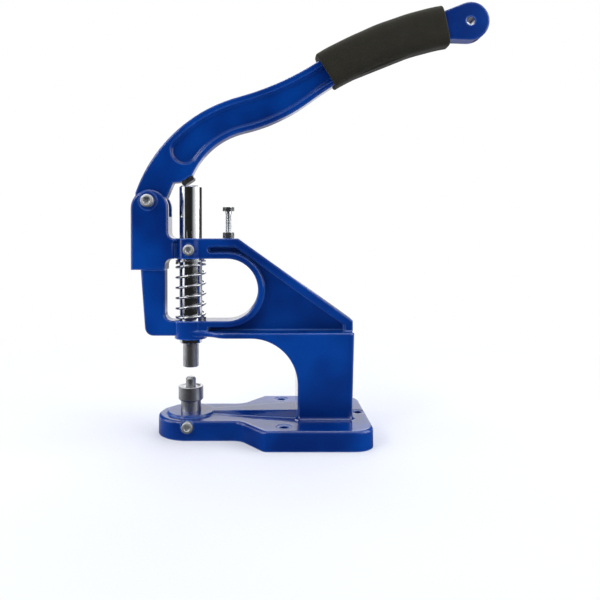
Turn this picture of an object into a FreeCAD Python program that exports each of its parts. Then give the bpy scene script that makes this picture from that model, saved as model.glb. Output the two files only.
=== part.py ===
import FreeCAD
import Part
import Sketcher
import math
import os
import re

from FreeCAD import Placement, Rotation, Vector

# A hand-operated eyelet machine: a cast frame with a throat, a long lever, a sprung
# ram and a pair of dies.  Millimetres, +Z up, X from the nose of the base to its heel,
# Y across.  The origin is where the ram's axis meets the surface the base stands on.

DRIVING = [
    # base plate
    ("base_thick", 15.0), ("base_width", 99.0), ("heel_overhang", 11.5), ("tongue_width", 51.0),
    ("flare_start_x", 40.5), ("flare_run", 18.2), ("flare_inner_radius", 12.0),
    ("flare_outer_radius", 5.0), ("base_corner_radius", 15.0), ("base_edge_radius", 2.5),
    ("bolt_hole_dia", 6.5), ("front_hole_x", 73.6), ("front_hole_inset", 11.5),
    ("rear_hole_inset", 6.5), ("spot_face_dia", 12.0), ("spot_face_depth", 0.4),
    # platform round the lower die, and the rib from it to the column
    ("platform_dia", 37.4), ("platform_height", 2.0), ("rib_nose_width", 6.0),
    ("rib_heel_width", 24.0), ("rib_heel_height", 5.2), ("rib_flank", 1.1), ("root_overlap", 1.0),
    # column, throat and ledge
    ("column_front_x", 84.5), ("column_foot_depth", 42.0), ("column_top_depth", 44.0),
    ("column_width", 44.0), ("column_edge_radius", 4.0), ("foot_radius", 3.0),
    ("throat_z", 77.0), ("throat_radius", 36.0), ("throat_edge_radius", 2.5),
    ("ledge_thick", 4.5), ("ledge_narrow_x", 10.0), ("ledge_wide_x", 30.0), ("ledge_edge_radius", 1.2),
    # upper arm: rims, web and the window the spring stands in
    ("lower_guide_rise", 12.3), ("window_height", 48.9), ("upper_guide_length", 16.1),
    ("window_left_x", -19.6), ("window_centre_x", 29.4), ("window_corner_radius", 5.5),
    ("window_rim", 5.0), ("arm_width", 22.0), ("arm_rim", 6.6), ("arm_slope_x", 38.2),
    ("heel_rise", 12.5), ("arm_edge_radius", 1.2), ("web_thick", 8.0), ("recess_gap", 1.7),
    # front leg and the two ears that carry the pivot
    ("leg_width", 16.0), ("leg_top_depth", 19.4), ("leg_foot_depth", 16.2), ("leg_corner_radius", 7.0),
    ("leg_edge_radius", 2.5), ("ear_front", 13.7), ("ear_back", 15.6), ("ear_pad_inset", 1.0),
    ("ear_skirt", 24.8), ("ear_round_drop", 5.7), ("ear_wall", 5.7), ("ear_edge_radius", 2.2),
    ("ear_root_radius", 5.0), ("ear_pad_slope", 2.0), ("slot_width", 14.0), ("slot_floor_gap", 1.0),
    # bosses and the holes in them
    ("guide_wall", 4.0), ("lower_boss_drop", 2.4), ("guide_screw_drop", 9.1), ("die_screw_drop", 6.6),
    ("socket_floor", 4.0), ("running_clearance", 0.05), ("screw_clearance", 0.05),
    ("block_overlap", 4.0),
    # ram, spring and what holds the spring
    ("ram_dia", 18.0), ("ram_rise", 12.4), ("ram_chamfer", 1.0), ("stroke", 15.0),
    ("keyway_width", 4.0), ("keyway_depth", 1.6), ("ring_thick", 1.2), ("ring_groove_depth", 0.9),
    ("ring_stand", 1.8), ("ring_gap", 5.0), ("stop_gap", 0.1), ("washer_thick", 1.2),
    ("washer_play", 0.15), ("washer_inset", 0.25), ("wire_dia", 2.0), ("coil_gap", 1.25),
    ("coil_turns", 6.5), ("closed_turns", 0.75), ("spring_gap", 0.3),
    # dies
    ("upper_die_dia", 12.6), ("upper_die_length", 19.0), ("die_closed_gap", 0.6),
    ("die_stem_dia", 8.0), ("die_stem_length", 12.0), ("stem_spare", 1.0), ("die_bore_depth", 9.5),
    ("shank_dia", 16.0), ("shank_show", 8.2), ("die_shoulder", 1.9), ("lower_die_height", 11.0),
    ("pilot_dia", 8.1), ("pilot_play", 0.4), ("pilot_height", 7.5), ("die_ring_wall", 2.2),
    ("die_dish_depth", 1.2), ("shank_flat_depth", 0.5), ("die_heel_chamfer", 0.9),
    ("pilot_crown_drop", 1.7), ("pilot_crown_width", 1.3), ("pilot_cap_drop", 0.35),
    # pivot
    ("pivot_x", -32.0), ("pivot_rise", 29.3), ("hub_radius", 11.4), ("pivot_spot_dia", 14.6),
    ("pivot_spot_depth", 0.5), ("pivot_screw_dia", 6.0), ("pivot_head_dia", 10.0),
    ("pivot_head_height", 6.0), ("pivot_hex", 5.0), ("pivot_washer_dia", 12.0),
    ("pivot_washer_thick", 1.6), ("bolt_play", 0.2), ("nut_flats", 10.0), ("nut_height", 5.0),
    ("thread_tail", 3.4),
    # small cap screws
    ("small_screw_dia", 5.0), ("small_head_dia", 8.5), ("small_head_height", 5.0),
    ("small_hex", 4.0), ("small_seat_dia", 9.6), ("guide_seat_depth", 0.6), ("die_seat_depth", 2.2),
    ("guide_dog_dia", 3.8), ("dog_clear", 0.3), ("screw_tip_gap", 0.2), ("turned_chamfer", 0.5),
    ("fine_chamfer", 0.3),
    # stop bolt
    ("stop_bolt_x", 30.2), ("stop_dia", 5.0), ("stop_flats", 8.0), ("stop_head_height", 3.5),
    ("stop_nut_height", 4.7), ("stop_rise", 21.5), ("stop_engage", 8.0), ("stop_hole_spare", 2.3),
    # lever: centres of its curves from the pivot, radii, then the straight-sided bar
    ("lever_side_gap", 0.5), ("lever_web", 6.0), ("back_x", 101.7), ("back_z", -32.9),
    ("back_radius", 119.6), ("back_foot_z", 7.0), ("belly_x", 88.8), ("belly_z", -3.8),
    ("belly_radius", 60.3), ("sweep_top_radius", 225.8), ("sweep_low_radius", 140.0),
    ("bar_x", 296.0), ("bar_z", -152.3), ("bar_radius", 297.65), ("bar_depth", 22.7),
    ("tail_angle", 11.67), ("tab_angle", 8.16), ("tab_radius", 15.0), ("hang_hole_dia", 7.0),
    ("rim_top", 5.0), ("rim_low", 4.4), ("pocket_top_angle", 135.7), ("pocket_low_angle", 144.9),
    ("pocket_tail_angle", 15.9), ("pocket_floor_radius", 2.0), ("pocket_edge_radius", 0.9),
    ("lever_edge_radius", 1.3),
    ("toe_root_x", 18.8), ("toe_root_z", 14.6), ("toe_heel", 1.5),
    # hardened pad under the toe
    ("pad_angle", 32.5), ("pad_x", -4.5), ("pad_thick", 3.8), ("pad_reach", 6.9), ("pad_inset", 0.5),
    ("pad_rest_gap", 0.15), ("rivet_dia", 3.0), ("rivet_pitch", 6.0), ("rivet_depth", 4.0),
    ("rivet_sink", 0.2),
    # foam sleeve on the bar
    ("grip_wall", 4.0), ("grip_gap", 0.2), ("grip_start_angle", 31.55), ("grip_end_angle", 11.98),
    ("grip_round", 6.0), ("grip_swell", 1.7), ("grip_lift", 1.75),
]

# Places and sizes that follow from the driving dimensions.  In an expression "dims.word" is
# a cell of the sheet and "at.word" stands for the formula given here.
PLACES = {
    # heights, from the bench upwards
    "platform_top": "dims.base_thick + dims.platform_height",
    "ledge_top": "dims.throat_z + dims.ledge_thick",
    "lower_boss": "dims.throat_z - dims.lower_boss_drop",
    "window_bottom": "dims.throat_z + dims.lower_guide_rise",
    "window_top": "at.window_bottom + dims.window_height",
    "arm_top": "at.window_top + dims.upper_guide_length",
    "arm_heel": "dims.throat_z + dims.heel_rise",
    "ear_bottom": "at.arm_top - dims.ear_skirt",
    "pivot_z": "at.arm_top + dims.pivot_rise",
    "ear_round": "at.pivot_z - dims.ear_round_drop",
    "slot_floor": "at.pivot_z - dims.hub_radius - dims.slot_floor_gap",
    "guide_screw_z": "at.arm_top - dims.guide_screw_drop",
    "die_screw_z": "at.platform_top - dims.die_screw_drop",
    "lower_die_z": "at.platform_top + dims.shank_show",
    "ram_top": "at.pivot_z + dims.ram_rise",
    "ring_top": "at.window_top - dims.stop_gap",
    "ring_bottom": "at.ring_top - dims.ring_thick",
    "washer_bottom": "at.ring_bottom - dims.washer_thick",
    "stop_head_z": "at.arm_top + dims.stop_rise",
    "pad_z": "at.ram_top + dims.pad_rest_gap + dims.pad_thick / 2",
    # along the machine
    "pivot_x": "dims.pivot_x",
    "column_foot": "dims.column_front_x + dims.column_foot_depth",
    "column_rear": "dims.column_front_x + dims.column_top_depth",
    "base_rear": "at.column_rear + dims.heel_overhang",
    "rear_hole": "at.base_rear - dims.rear_hole_inset",
    "flare_end": "dims.flare_start_x + dims.flare_run",
    "leg_top": "dims.window_left_x - dims.leg_top_depth",
    "leg_foot": "dims.window_left_x - dims.leg_foot_depth",
    "ear_left": "dims.pivot_x - dims.ear_front",
    "ear_right": "dims.pivot_x + dims.ear_back",
    "ear_pad": "dims.ear_pad_inset - at.boss_radius",
    "recess_start": "at.boss_radius + dims.recess_gap",
    # across the machine, and round the ram's axis
    "front_hole_y": "dims.base_width / 2 - dims.front_hole_inset",
    "ear_width": "dims.slot_width + 2 * dims.ear_wall",
    "lever_width": "dims.slot_width - 2 * dims.lever_side_gap",
    "pad_width": "at.lever_width - 2 * dims.pad_inset",
    "boss_radius": "dims.ram_dia / 2 + dims.guide_wall",
    "ring_radius": "dims.ram_dia / 2 + dims.ring_stand",
    "coil_radius": "dims.ram_dia / 2 + dims.coil_gap + dims.wire_dia / 2",
    "die_head": "dims.shank_dia / 2 + dims.die_shoulder",
    "die_bore": "dims.pilot_dia / 2 + dims.pilot_play",
    "guide_seat": "at.boss_radius - dims.guide_seat_depth",
    "die_seat": "dims.tongue_width / 2 - dims.die_seat_depth",
    # lengths and slopes
    "ram_bottom": "at.lower_die_z + dims.lower_die_height + dims.die_closed_gap + dims.stroke"
                  " + dims.upper_die_length",
    "stop_length": "dims.stop_rise + dims.stop_engage",
    "ear_radius": "(at.ear_right - at.ear_left) / 2",
    "slope": "atan2(at.arm_top - at.arm_heel; at.column_rear - dims.arm_slope_x) / 1deg",
    "half_bar": "dims.bar_depth / 2",
    "bar_top": "dims.bar_radius + at.half_bar",
    "bar_low": "dims.bar_radius - at.half_bar",
    "pad_run": "(at.belly_x - dims.pad_x)",
    "pad_rise": "(at.belly_z - at.pad_z)",
    "toe_drop": "(at.pad_run * sin(dims.pad_angle) - at.pad_rise * cos(dims.pad_angle))",
    "toe_tip": "at.pad_run * cos(dims.pad_angle) + at.pad_rise * sin(dims.pad_angle)"
               " - sqrt(dims.belly_radius^2 - (at.toe_drop + dims.pad_thick / 2)^2)",
    "tail_x": "at.bar_x - dims.bar_radius * sin(dims.tail_angle)",
    "tail_z": "at.bar_z + dims.bar_radius * cos(dims.tail_angle)",
    "tab_x": "at.bar_x - dims.bar_radius * sin(dims.tab_angle)",
    "tab_z": "at.bar_z + dims.bar_radius * cos(dims.tab_angle)",
}
for centre in ("back", "belly", "bar"):
    PLACES[centre + "_x"] = "dims.pivot_x + dims.%s_x" % centre
    PLACES[centre + "_z"] = "at.pivot_z + dims.%s_z" % centre
# Each sweep touches an arc of the lever's root and an edge of its bar: along and off are
# its centre's place from the root arc's centre, measured on the line to the bar's centre.
for side, root in (("top", "back"), ("low", "belly")):
    run = "(dims.bar_x - dims.%s_x)" % root
    rise = "(dims.bar_z - dims.%s_z)" % root
    reach = "(dims.%s_radius + dims.sweep_%s_radius)" % (root, side)
    words = {"side": side, "root": root, "run": run, "rise": rise, "reach": reach}
    PLACES["span_" + side] = "hypot(%(run)s; %(rise)s)" % words
    PLACES["along_" + side] = ("(%(reach)s^2 - (at.bar_%(side)s + dims.sweep_%(side)s_radius)^2"
                               " + at.span_%(side)s^2) / (2 * at.span_%(side)s)") % words
    PLACES["off_" + side] = "sqrt(%(reach)s^2 - at.along_%(side)s^2)" % words
    PLACES["sweep_%s_x" % side] = ("at.%(root)s_x + (at.along_%(side)s * %(run)s"
                                   " - at.off_%(side)s * %(rise)s) / at.span_%(side)s") % words
    PLACES["sweep_%s_z" % side] = ("at.%(root)s_z + (at.along_%(side)s * %(rise)s"
                                   " + at.off_%(side)s * %(run)s) / at.span_%(side)s") % words


# ---------------------------------------------------------------- document and sheet

def fill_sheet(doc):
    """Put every driving dimension in the sheet under its own alias."""
    sheet = doc.addObject("Spreadsheet::Sheet", "dims")
    for row, (alias, value) in enumerate(DRIVING, start=1):
        sheet.set("A%d" % row, alias)
        sheet.set("B%d" % row, "%g" % value)
        sheet.setAlias("B%d" % row, alias)
    doc.recompute()
    return sheet


DOC = FreeCAD.newDocument("EyeletMachine")
SHEET = fill_sheet(DOC)


def spell_out(expression):
    """The expression with each at.word replaced by its formula, until only dims are left."""
    while "at." in expression:
        expression = re.sub(r"\bat\.(\w+)", lambda found: "(%s)" % PLACES[found.group(1)], expression)
    return expression


def size(expression):
    """The present value of an expression."""
    value = SHEET.evalExpression(spell_out(expression).replace("dims.", ""))
    return float(getattr(value, "Value", value))


def bind(feature, path, expression):
    """Tie a property or a constraint to the sheet's cells."""
    feature.setExpression(path, spell_out(expression))


# ---------------------------------------------------------------- sketching helpers

def new_body(name):
    """A body whose label names its file."""
    body = DOC.addObject("PartDesign::Body", name)
    body.Label = name
    return body


def new_sketch(body, name, role, offset="0"):
    """A sketch on one of the body's own origin planes, moved along the plane's normal."""
    sketch = body.newObject("Sketcher::SketchObject", name)
    plane = next(item for item in body.Origin.OriginFeatures if item.Role == role)
    sketch.AttachmentSupport = [(plane, "")]
    sketch.MapMode = "FlatFace"
    if offset != "0":
        bind(sketch, "AttachmentOffset.Base.z", offset)
    return sketch


def pin(sketch, kind, reference, expression):
    """Add a dimensional constraint whose value is an expression."""
    number = sketch.addConstraint(Sketcher.Constraint(kind, *reference, size(expression)))
    bind(sketch, "Constraints[%d]" % number, expression)


def pin_point(sketch, curve, end, point):
    """Hold one point of a curve at two coordinates measured from the sketch's origin."""
    pin(sketch, "DistanceX", (-1, 1, curve, end), point[0])
    pin(sketch, "DistanceY", (-1, 1, curve, end), point[1])


def arc_middle(start, end, radius, turn, large):
    """The point halfway along an arc from start to end; turn is +1 anticlockwise."""
    chord = end - start
    half = chord.Length / 2
    sagitta = radius - math.sqrt(max(radius ** 2 - half ** 2, 0.0))
    if large:
        sagitta = 2 * radius - sagitta
    sideways = Vector(chord.y, -chord.x, 0).normalize()
    return (start + end) * 0.5 + sideways * sagitta * turn


def outline(sketch, start, steps):
    """A closed loop.  A step is ("line", end), ("arc", end, turn, radius[, "large"]) or,
    for half a circle, ("half", end, turn)."""
    corners = [start] + [step[1] for step in steps[:-1]] + [start]
    places = [Vector(size(corner[0]), size(corner[1]), 0) for corner in corners]
    ends = []
    for step, here, there in zip(steps, places, places[1:]):
        if step[0] == "line":
            curve = sketch.addGeometry(Part.LineSegment(here, there), False)
            first, last = 1, 2
        else:
            radius = size(step[3]) if step[0] == "arc" else (there - here).Length / 2
            middle = arc_middle(here, there, radius, step[2], len(step) > 4)
            first, last = (1, 2) if step[2] > 0 else (2, 1)
            ordered = (here, middle, there) if step[2] > 0 else (there, middle, here)
            curve = sketch.addGeometry(Part.Arc(*ordered), False)
        ends.append((curve, first, last))
    for number, (curve, first, last) in enumerate(ends):
        following = ends[(number + 1) % len(ends)]
        sketch.addConstraint(Sketcher.Constraint("Coincident", curve, last, following[0], following[1]))
        pin_point(sketch, curve, first, corners[number])
        if steps[number][0] == "arc":
            pin(sketch, "Radius", (curve,), steps[number][3])
        if steps[number][0] == "half":
            chord = places[number + 1] - places[number]
            axis = 0 if abs(chord.y) > abs(chord.x) else 1
            centre = "((%s) + (%s)) / 2" % (corners[number][axis], corners[number + 1][axis])
            pin(sketch, ("DistanceX", "DistanceY")[axis], (-1, 1, curve, 3), centre)


def circle(sketch, centre, radius):
    """A circle held at a centre."""
    place = Vector(size(centre[0]), size(centre[1]), 0)
    curve = sketch.addGeometry(Part.Circle(place, Vector(0, 0, 1), size(radius)), False)
    pin_point(sketch, curve, 3, centre)
    pin(sketch, "Radius", (curve,), radius)


def hexagon(sketch, flats):
    """A regular hexagon about the sketch's origin, given its width across flats."""
    corners = []
    for number in range(6):
        across = "(%s / 2 / cos(30))" % flats
        corners.append(("%s * cos(%d)" % (across, 60 * number), "%s * sin(%d)" % (across, 60 * number)))
    outline(sketch, corners[0], [("line", corner) for corner in corners[1:]] + [("line", corners[0])])


def polygon(sketch, corners):
    """A closed loop of straight lines."""
    outline(sketch, corners[0], [("line", corner) for corner in corners[1:]] + [("line", corners[0])])


# ---------------------------------------------------------------- feature helpers

def settle(feature):
    """Rebuild the document and stop if this feature has failed."""
    DOC.recompute()
    if "Invalid" in feature.State or feature.Shape.isNull() or not feature.Shape.isValid():
        raise RuntimeError("%s failed: %s" % (feature.Name, feature.getStatusString()))


def pad_across(body, sketch, length):
    """A pad with half its length on each side of the sketch."""
    pad = body.newObject("PartDesign::Pad", sketch.Name + "_pad")
    pad.Profile = sketch
    pad.SideType = "Symmetric"
    bind(pad, "Length", length)
    settle(pad)
    return pad


def pad_up(body, sketch, length):
    """A pad along the sketch's normal."""
    pad = body.newObject("PartDesign::Pad", sketch.Name + "_pad")
    pad.Profile = sketch
    bind(pad, "Length", length)
    settle(pad)
    return pad


def cut(body, sketch, length=None, outward=False, both_ways=False):
    """A pocket: through all on both sides without a length, else one way or shared by both."""
    before = body.Shape.Volume
    pocket = body.newObject("PartDesign::Pocket", sketch.Name + "_cut")
    pocket.Profile = sketch
    if length is None:
        pocket.Type = "ThroughAll"
        pocket.SideType = "Symmetric"
    else:
        pocket.Reversed = outward
        pocket.SideType = "Symmetric" if both_ways else "One side"
        bind(pocket, "Length", length)
    settle(pocket)
    if body.Shape.Volume >= before - 1e-6:
        raise RuntimeError(pocket.Name + " removes nothing")
    return pocket


def mirror_cut(body, pocket, role):
    """The same pocket again on the other side of an origin plane."""
    mirror = body.newObject("PartDesign::Mirrored", pocket.Name + "_twin")
    mirror.Originals = [pocket]
    plane = next(item for item in body.Origin.OriginFeatures if item.Role == role)
    mirror.MirrorPlane = (plane, [""])
    body.Tip = mirror
    settle(mirror)


def edges_where(body, test):
    """Names of the body's edges that pass a test of their middle, ends and kind."""
    names = []
    for number, edge in enumerate(body.Shape.Edges, start=1):
        low, high = edge.ParameterRange
        middle = edge.valueAt((low + high) / 2)
        ends = [vertex.Point for vertex in edge.Vertexes]
        if test(middle, ends):
            names.append("Edge%d" % number)
    return names


def round_edges(body, name, radius, test):
    """A fillet on the edges that pass a test."""
    names = edges_where(body, test)
    if not names:
        raise RuntimeError(name + " finds no edge")
    base = body.Tip
    fillet = body.newObject("PartDesign::Fillet", name)
    fillet.Base = (base, names)
    bind(fillet, "Radius", radius)
    body.Tip = fillet
    settle(fillet)


def near(value, target, slack=0.02):
    """Whether two lengths agree."""
    return abs(value - target) < slack


def in_plane(points, axis, level):
    """Whether all points lie at one distance either side of an origin plane."""
    return all(near(abs(getattr(point, axis)), level) for point in points)


def revolve(body, name, start, steps):
    """A full turn about the body's Z axis of a profile drawn as radius against height."""
    sketch = new_sketch(body, name, "XZ_Plane")
    outline(sketch, start, steps)
    turned = body.newObject("PartDesign::Revolution", name + "_turned")
    turned.Profile = sketch
    turned.ReferenceAxis = (sketch, ["V_Axis"])
    turned.Angle = 360
    settle(turned)
    return turned


def lines(*corners):
    """Straight steps to each corner in turn."""
    return [("line", corner) for corner in corners]


def place(body, x="0", y="0", z="0"):
    """Bind where a body stands."""
    bind(body, "Placement.Base.x", x)
    bind(body, "Placement.Base.y", y)
    bind(body, "Placement.Base.z", z)


# ---------------------------------------------------------------- frame casting

def arch(body):
    """Column and ledge as one profile, with the throat's arc between them."""
    sketch = new_sketch(body, "arch", "XZ_Plane")
    arc_x = "dims.column_front_x - dims.throat_radius"
    arc_z = "dims.throat_z - dims.throat_radius"
    start = ("0", "dims.throat_z")
    outline(sketch, start, [
        ("line", (arc_x, "dims.throat_z")),
        ("arc", ("dims.column_front_x", arc_z), -1, "dims.throat_radius"),
        ("line", ("dims.column_front_x", "0")),
        ("line", ("at.column_foot", "0")),
        ("line", ("at.column_rear", "at.ledge_top")),
        ("line", ("0", "at.ledge_top")),
        ("line", start)])
    pad_across(body, sketch, "dims.column_width")


def ledge_nose(body):
    """Trim the ledge to the S-shaped waist that runs into the lower boss."""
    sketch = new_sketch(body, "ledge_nose", "XY_Plane")
    span = "((dims.ledge_wide_x - dims.ledge_narrow_x) / 2)"
    rise = "((dims.column_width / 2 - at.boss_radius) / 2)"
    radius = "((%s^2 + %s^2) / (2 * %s))" % (span, rise, rise)
    middle_x = "(dims.ledge_narrow_x + %s)" % span
    for side in (1, -1):
        def across(text):
            return "%d * (%s)" % (side, text)
        start = ("-1", across("dims.column_width"))
        outline(sketch, start, [
            ("line", ("-1", across("at.boss_radius"))),
            ("line", ("dims.ledge_narrow_x", across("at.boss_radius"))),
            ("arc", (middle_x, across("at.boss_radius + %s" % rise)), side, radius),
            ("arc", ("dims.ledge_wide_x", across("dims.column_width / 2")), -side, radius),
            ("line", ("dims.ledge_wide_x", across("dims.column_width"))),
            ("line", start)])
    cut(body, sketch)


def round_arch(body):
    """Column corners, the throat's edge and the ledge's upper edge."""
    half = size("dims.column_width / 2")
    front = size("dims.column_front_x")
    ledge_top = size("at.ledge_top")
    round_edges(body, "column_corners", "dims.column_edge_radius",
                lambda middle, ends: middle.x > front + 10 and in_plane(ends, "y", half)
                and not near(middle.z, ledge_top) and middle.z > 1)
    round_edges(body, "throat_edges", "dims.throat_edge_radius",
                lambda middle, ends: in_plane(ends, "y", half) and middle.x < front + 0.1
                and middle.z < size("dims.throat_z") + 0.01)
    round_edges(body, "ledge_edges", "dims.ledge_edge_radius",
                lambda middle, ends: all(near(end.z, ledge_top) for end in ends)
                and abs(middle.y) > size("at.boss_radius") - 0.1)


def arm_corners():
    """Inner corners of the recess, where the rim turns down the slope and the heel."""
    slope_x = "(dims.arm_slope_x - dims.arm_rim * tan(at.slope / 2))"
    heel_z = "(at.arm_heel - dims.arm_rim * tan((90 - at.slope) / 2))"
    return slope_x, heel_z


def recess_outline(sketch):
    """The hollow between the arm's rim, the window's rim and the ledge."""
    slope_x, heel_z = arm_corners()
    rim_top = "(at.arm_top - dims.arm_rim)"
    rim_low = "(at.window_top + dims.window_rim)"
    nose = "((%s - %s) / 2)" % (rim_top, rim_low)
    nose_x = "(at.recess_start + %s)" % nose
    start = (nose_x, rim_top)
    outline(sketch, start, [
        ("line", (slope_x, rim_top)),
        ("line", ("at.column_rear - dims.arm_rim", heel_z)),
        ("line", ("at.column_rear - dims.arm_rim", "at.ledge_top")),
        ("line", ("at.recess_start", "at.ledge_top")),
        ("line", ("at.recess_start", "at.window_bottom - dims.window_rim")),
        ("line", ("dims.window_centre_x", "at.window_bottom - dims.window_rim")),
        ("half", ("dims.window_centre_x", rim_low), 1),
        ("line", (nose_x, rim_low)),
        ("half", start, -1)])


def upper_arm(body):
    """Rims the full width of the arm, then the thinner web between them."""
    rims = new_sketch(body, "arm_rims", "XZ_Plane")
    inside_boss = "(-at.boss_radius / 3)"
    inside_ledge = "(dims.throat_z + dims.ledge_thick / 2)"
    start = (inside_boss, "at.arm_top")
    outline(rims, start, [
        ("line", ("dims.arm_slope_x", "at.arm_top")),
        ("line", ("at.column_rear", "at.arm_heel")),
        ("line", ("at.column_rear", "at.ledge_top")),
        ("line", ("at.column_rear - dims.arm_rim / 2", inside_ledge)),
        ("line", ("0", inside_ledge)),
        ("line", ("0", "at.window_bottom")),
        ("line", ("dims.window_centre_x", "at.window_bottom")),
        ("half", ("dims.window_centre_x", "at.window_top"), 1),
        ("line", (inside_boss, "at.window_top")),
        ("line", start)])
    recess_outline(rims)
    pad_across(body, rims, "dims.arm_width")
    half = size("dims.arm_width / 2")
    ledge_top = size("at.ledge_top")
    round_edges(body, "arm_edges", "dims.arm_edge_radius",
                lambda middle, ends: in_plane(ends + [middle], "y", half)
                and middle.z > ledge_top + 0.1)
    web = new_sketch(body, "arm_web", "XZ_Plane")
    recess_outline(web)
    pad_across(body, web, "dims.web_thick")


def front_leg(body):
    """The slim post in front of the spring, with its turns into the arm and the boss."""
    sketch = new_sketch(body, "leg", "XZ_Plane")
    inner = "dims.window_left_x"
    corner = "dims.window_corner_radius"
    foot = "dims.leg_corner_radius"
    start = ("0", "dims.throat_z")
    outline(sketch, start, [
        ("line", ("at.leg_foot + " + foot, "dims.throat_z")),
        ("arc", ("at.leg_foot", "dims.throat_z + " + foot), -1, foot),
        ("line", ("at.leg_top", "at.ear_bottom")),
        ("line", ("at.leg_top", "at.arm_top - dims.block_overlap")),
        ("line", ("0", "at.arm_top - dims.block_overlap")),
        ("line", ("0", "at.window_top")),
        ("line", ("%s + %s" % (inner, corner), "at.window_top")),
        ("arc", (inner, "at.window_top - " + corner), 1, corner),
        ("line", (inner, "at.window_bottom + " + corner)),
        ("arc", ("%s + %s" % (inner, corner), "at.window_bottom"), 1, corner),
        ("line", ("0", "at.window_bottom")),
        ("line", start)])
    pad_across(body, sketch, "dims.leg_width")
    half = size("dims.leg_width / 2")
    low = size("at.ear_bottom") + 1
    left = size("dims.window_left_x + dims.window_corner_radius")
    round_edges(body, "leg_edges", "dims.leg_edge_radius",
                lambda middle, ends: in_plane(ends + [middle], "y", half)
                and middle.z < low and middle.x < left - 0.01)


def ears(body):
    """The block that carries the pivot: rounded on top, slotted for the lever."""
    sketch = new_sketch(body, "ears", "XZ_Plane")
    root = "dims.ear_root_radius"
    corner = "dims.window_corner_radius"
    inner = "(dims.window_left_x + 0.5)"
    start = ("at.ear_left", "at.ear_bottom")
    outline(sketch, start, [
        ("line", ("at.ear_left", "at.ear_round")),
        ("half", ("at.ear_right", "at.ear_round"), -1),
        ("line", ("at.ear_right", "at.arm_top + " + root)),
        ("arc", ("at.ear_right + " + root, "at.arm_top"), 1, root),
        ("line", ("at.ear_pad + dims.ear_pad_slope", "at.arm_top")),
        ("line", ("at.ear_pad", "at.arm_top - dims.block_overlap")),
        ("line", ("at.ear_pad", "at.window_top")),
        ("line", ("%s + %s" % (inner, corner), "at.window_top")),
        ("arc", (inner, "at.window_top - " + corner), 1, corner),
        ("line", (inner, "at.ear_bottom")),
        ("line", start)])
    pad_across(body, sketch, "at.ear_width")
    half = size("at.ear_width / 2")
    round_edges(body, "ear_edges", "dims.ear_edge_radius",
                lambda middle, ends: in_plane(ends + [middle], "y", half))
    slot = new_sketch(body, "lever_slot", "YZ_Plane")
    above = "(at.pivot_z + 2 * at.ear_radius)"
    polygon(slot, [("-dims.slot_width / 2", "at.slot_floor"), ("dims.slot_width / 2", "at.slot_floor"),
                   ("dims.slot_width / 2", above), ("-dims.slot_width / 2", above)])
    cut(body, slot)


def bosses(body):
    """The two round guides that the ram runs in."""
    lower = new_sketch(body, "lower_boss", "XY_Plane", "at.lower_boss")
    circle(lower, ("0", "0"), "at.boss_radius")
    pad_up(body, lower, "at.window_bottom - at.lower_boss")
    upper = new_sketch(body, "upper_boss", "XY_Plane", "at.window_top")
    circle(upper, ("0", "0"), "at.boss_radius")
    pad_up(body, upper, "at.arm_top - at.window_top")


def base_plate(body):
    """A round-nosed tongue that flares to a wide rectangular heel."""
    sketch = new_sketch(body, "base", "XY_Plane")
    tongue = "dims.tongue_width / 2"
    half = "dims.base_width / 2"
    start = ("0", "-" + tongue)
    outline(sketch, start, [
        ("line", ("dims.flare_start_x", "-" + tongue)),
        ("line", ("at.flare_end", "-" + half)),
        ("line", ("at.base_rear", "-" + half)),
        ("line", ("at.base_rear", half)),
        ("line", ("at.flare_end", half)),
        ("line", ("dims.flare_start_x", tongue)),
        ("line", ("0", tongue)),
        ("half", start, 1)])
    pad_up(body, sketch, "dims.base_thick")
    for name, x, radius in (("flare_hollows", "dims.flare_start_x", "dims.flare_inner_radius"),
                            ("flare_corners", "at.flare_end", "dims.flare_outer_radius"),
                            ("heel_corners", "at.base_rear", "dims.base_corner_radius")):
        across = size(x)
        round_edges(body, name, radius,
                    lambda middle, ends: all(near(end.x, across) for end in ends)
                    and near(middle.z, size("dims.base_thick / 2")) and len(ends) == 2
                    and near(ends[0].y, ends[1].y))
    top = size("dims.base_thick")
    column_front = size("dims.column_front_x")
    column_half = size("dims.column_width / 2")

    def at_top(middle, ends):
        return all(near(point.z, top) for point in ends + [middle])

    def at_column(middle):
        return middle.x > column_front - 1 and abs(middle.y) < column_half + 0.1 \
            and middle.x < size("at.column_rear") + 0.1

    round_edges(body, "column_foot", "dims.foot_radius",
                lambda middle, ends: at_top(middle, ends) and at_column(middle))
    round_edges(body, "base_edge", "dims.base_edge_radius",
                lambda middle, ends: at_top(middle, ends) and not near_column(middle))


def near_column(middle):
    """Whether a point lies within the foot fillet's reach of the column."""
    reach = size("dims.foot_radius") + 0.2
    return (size("dims.column_front_x") - reach < middle.x < size("at.column_rear") + reach
            and abs(middle.y) < size("dims.column_width / 2") + reach)


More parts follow.
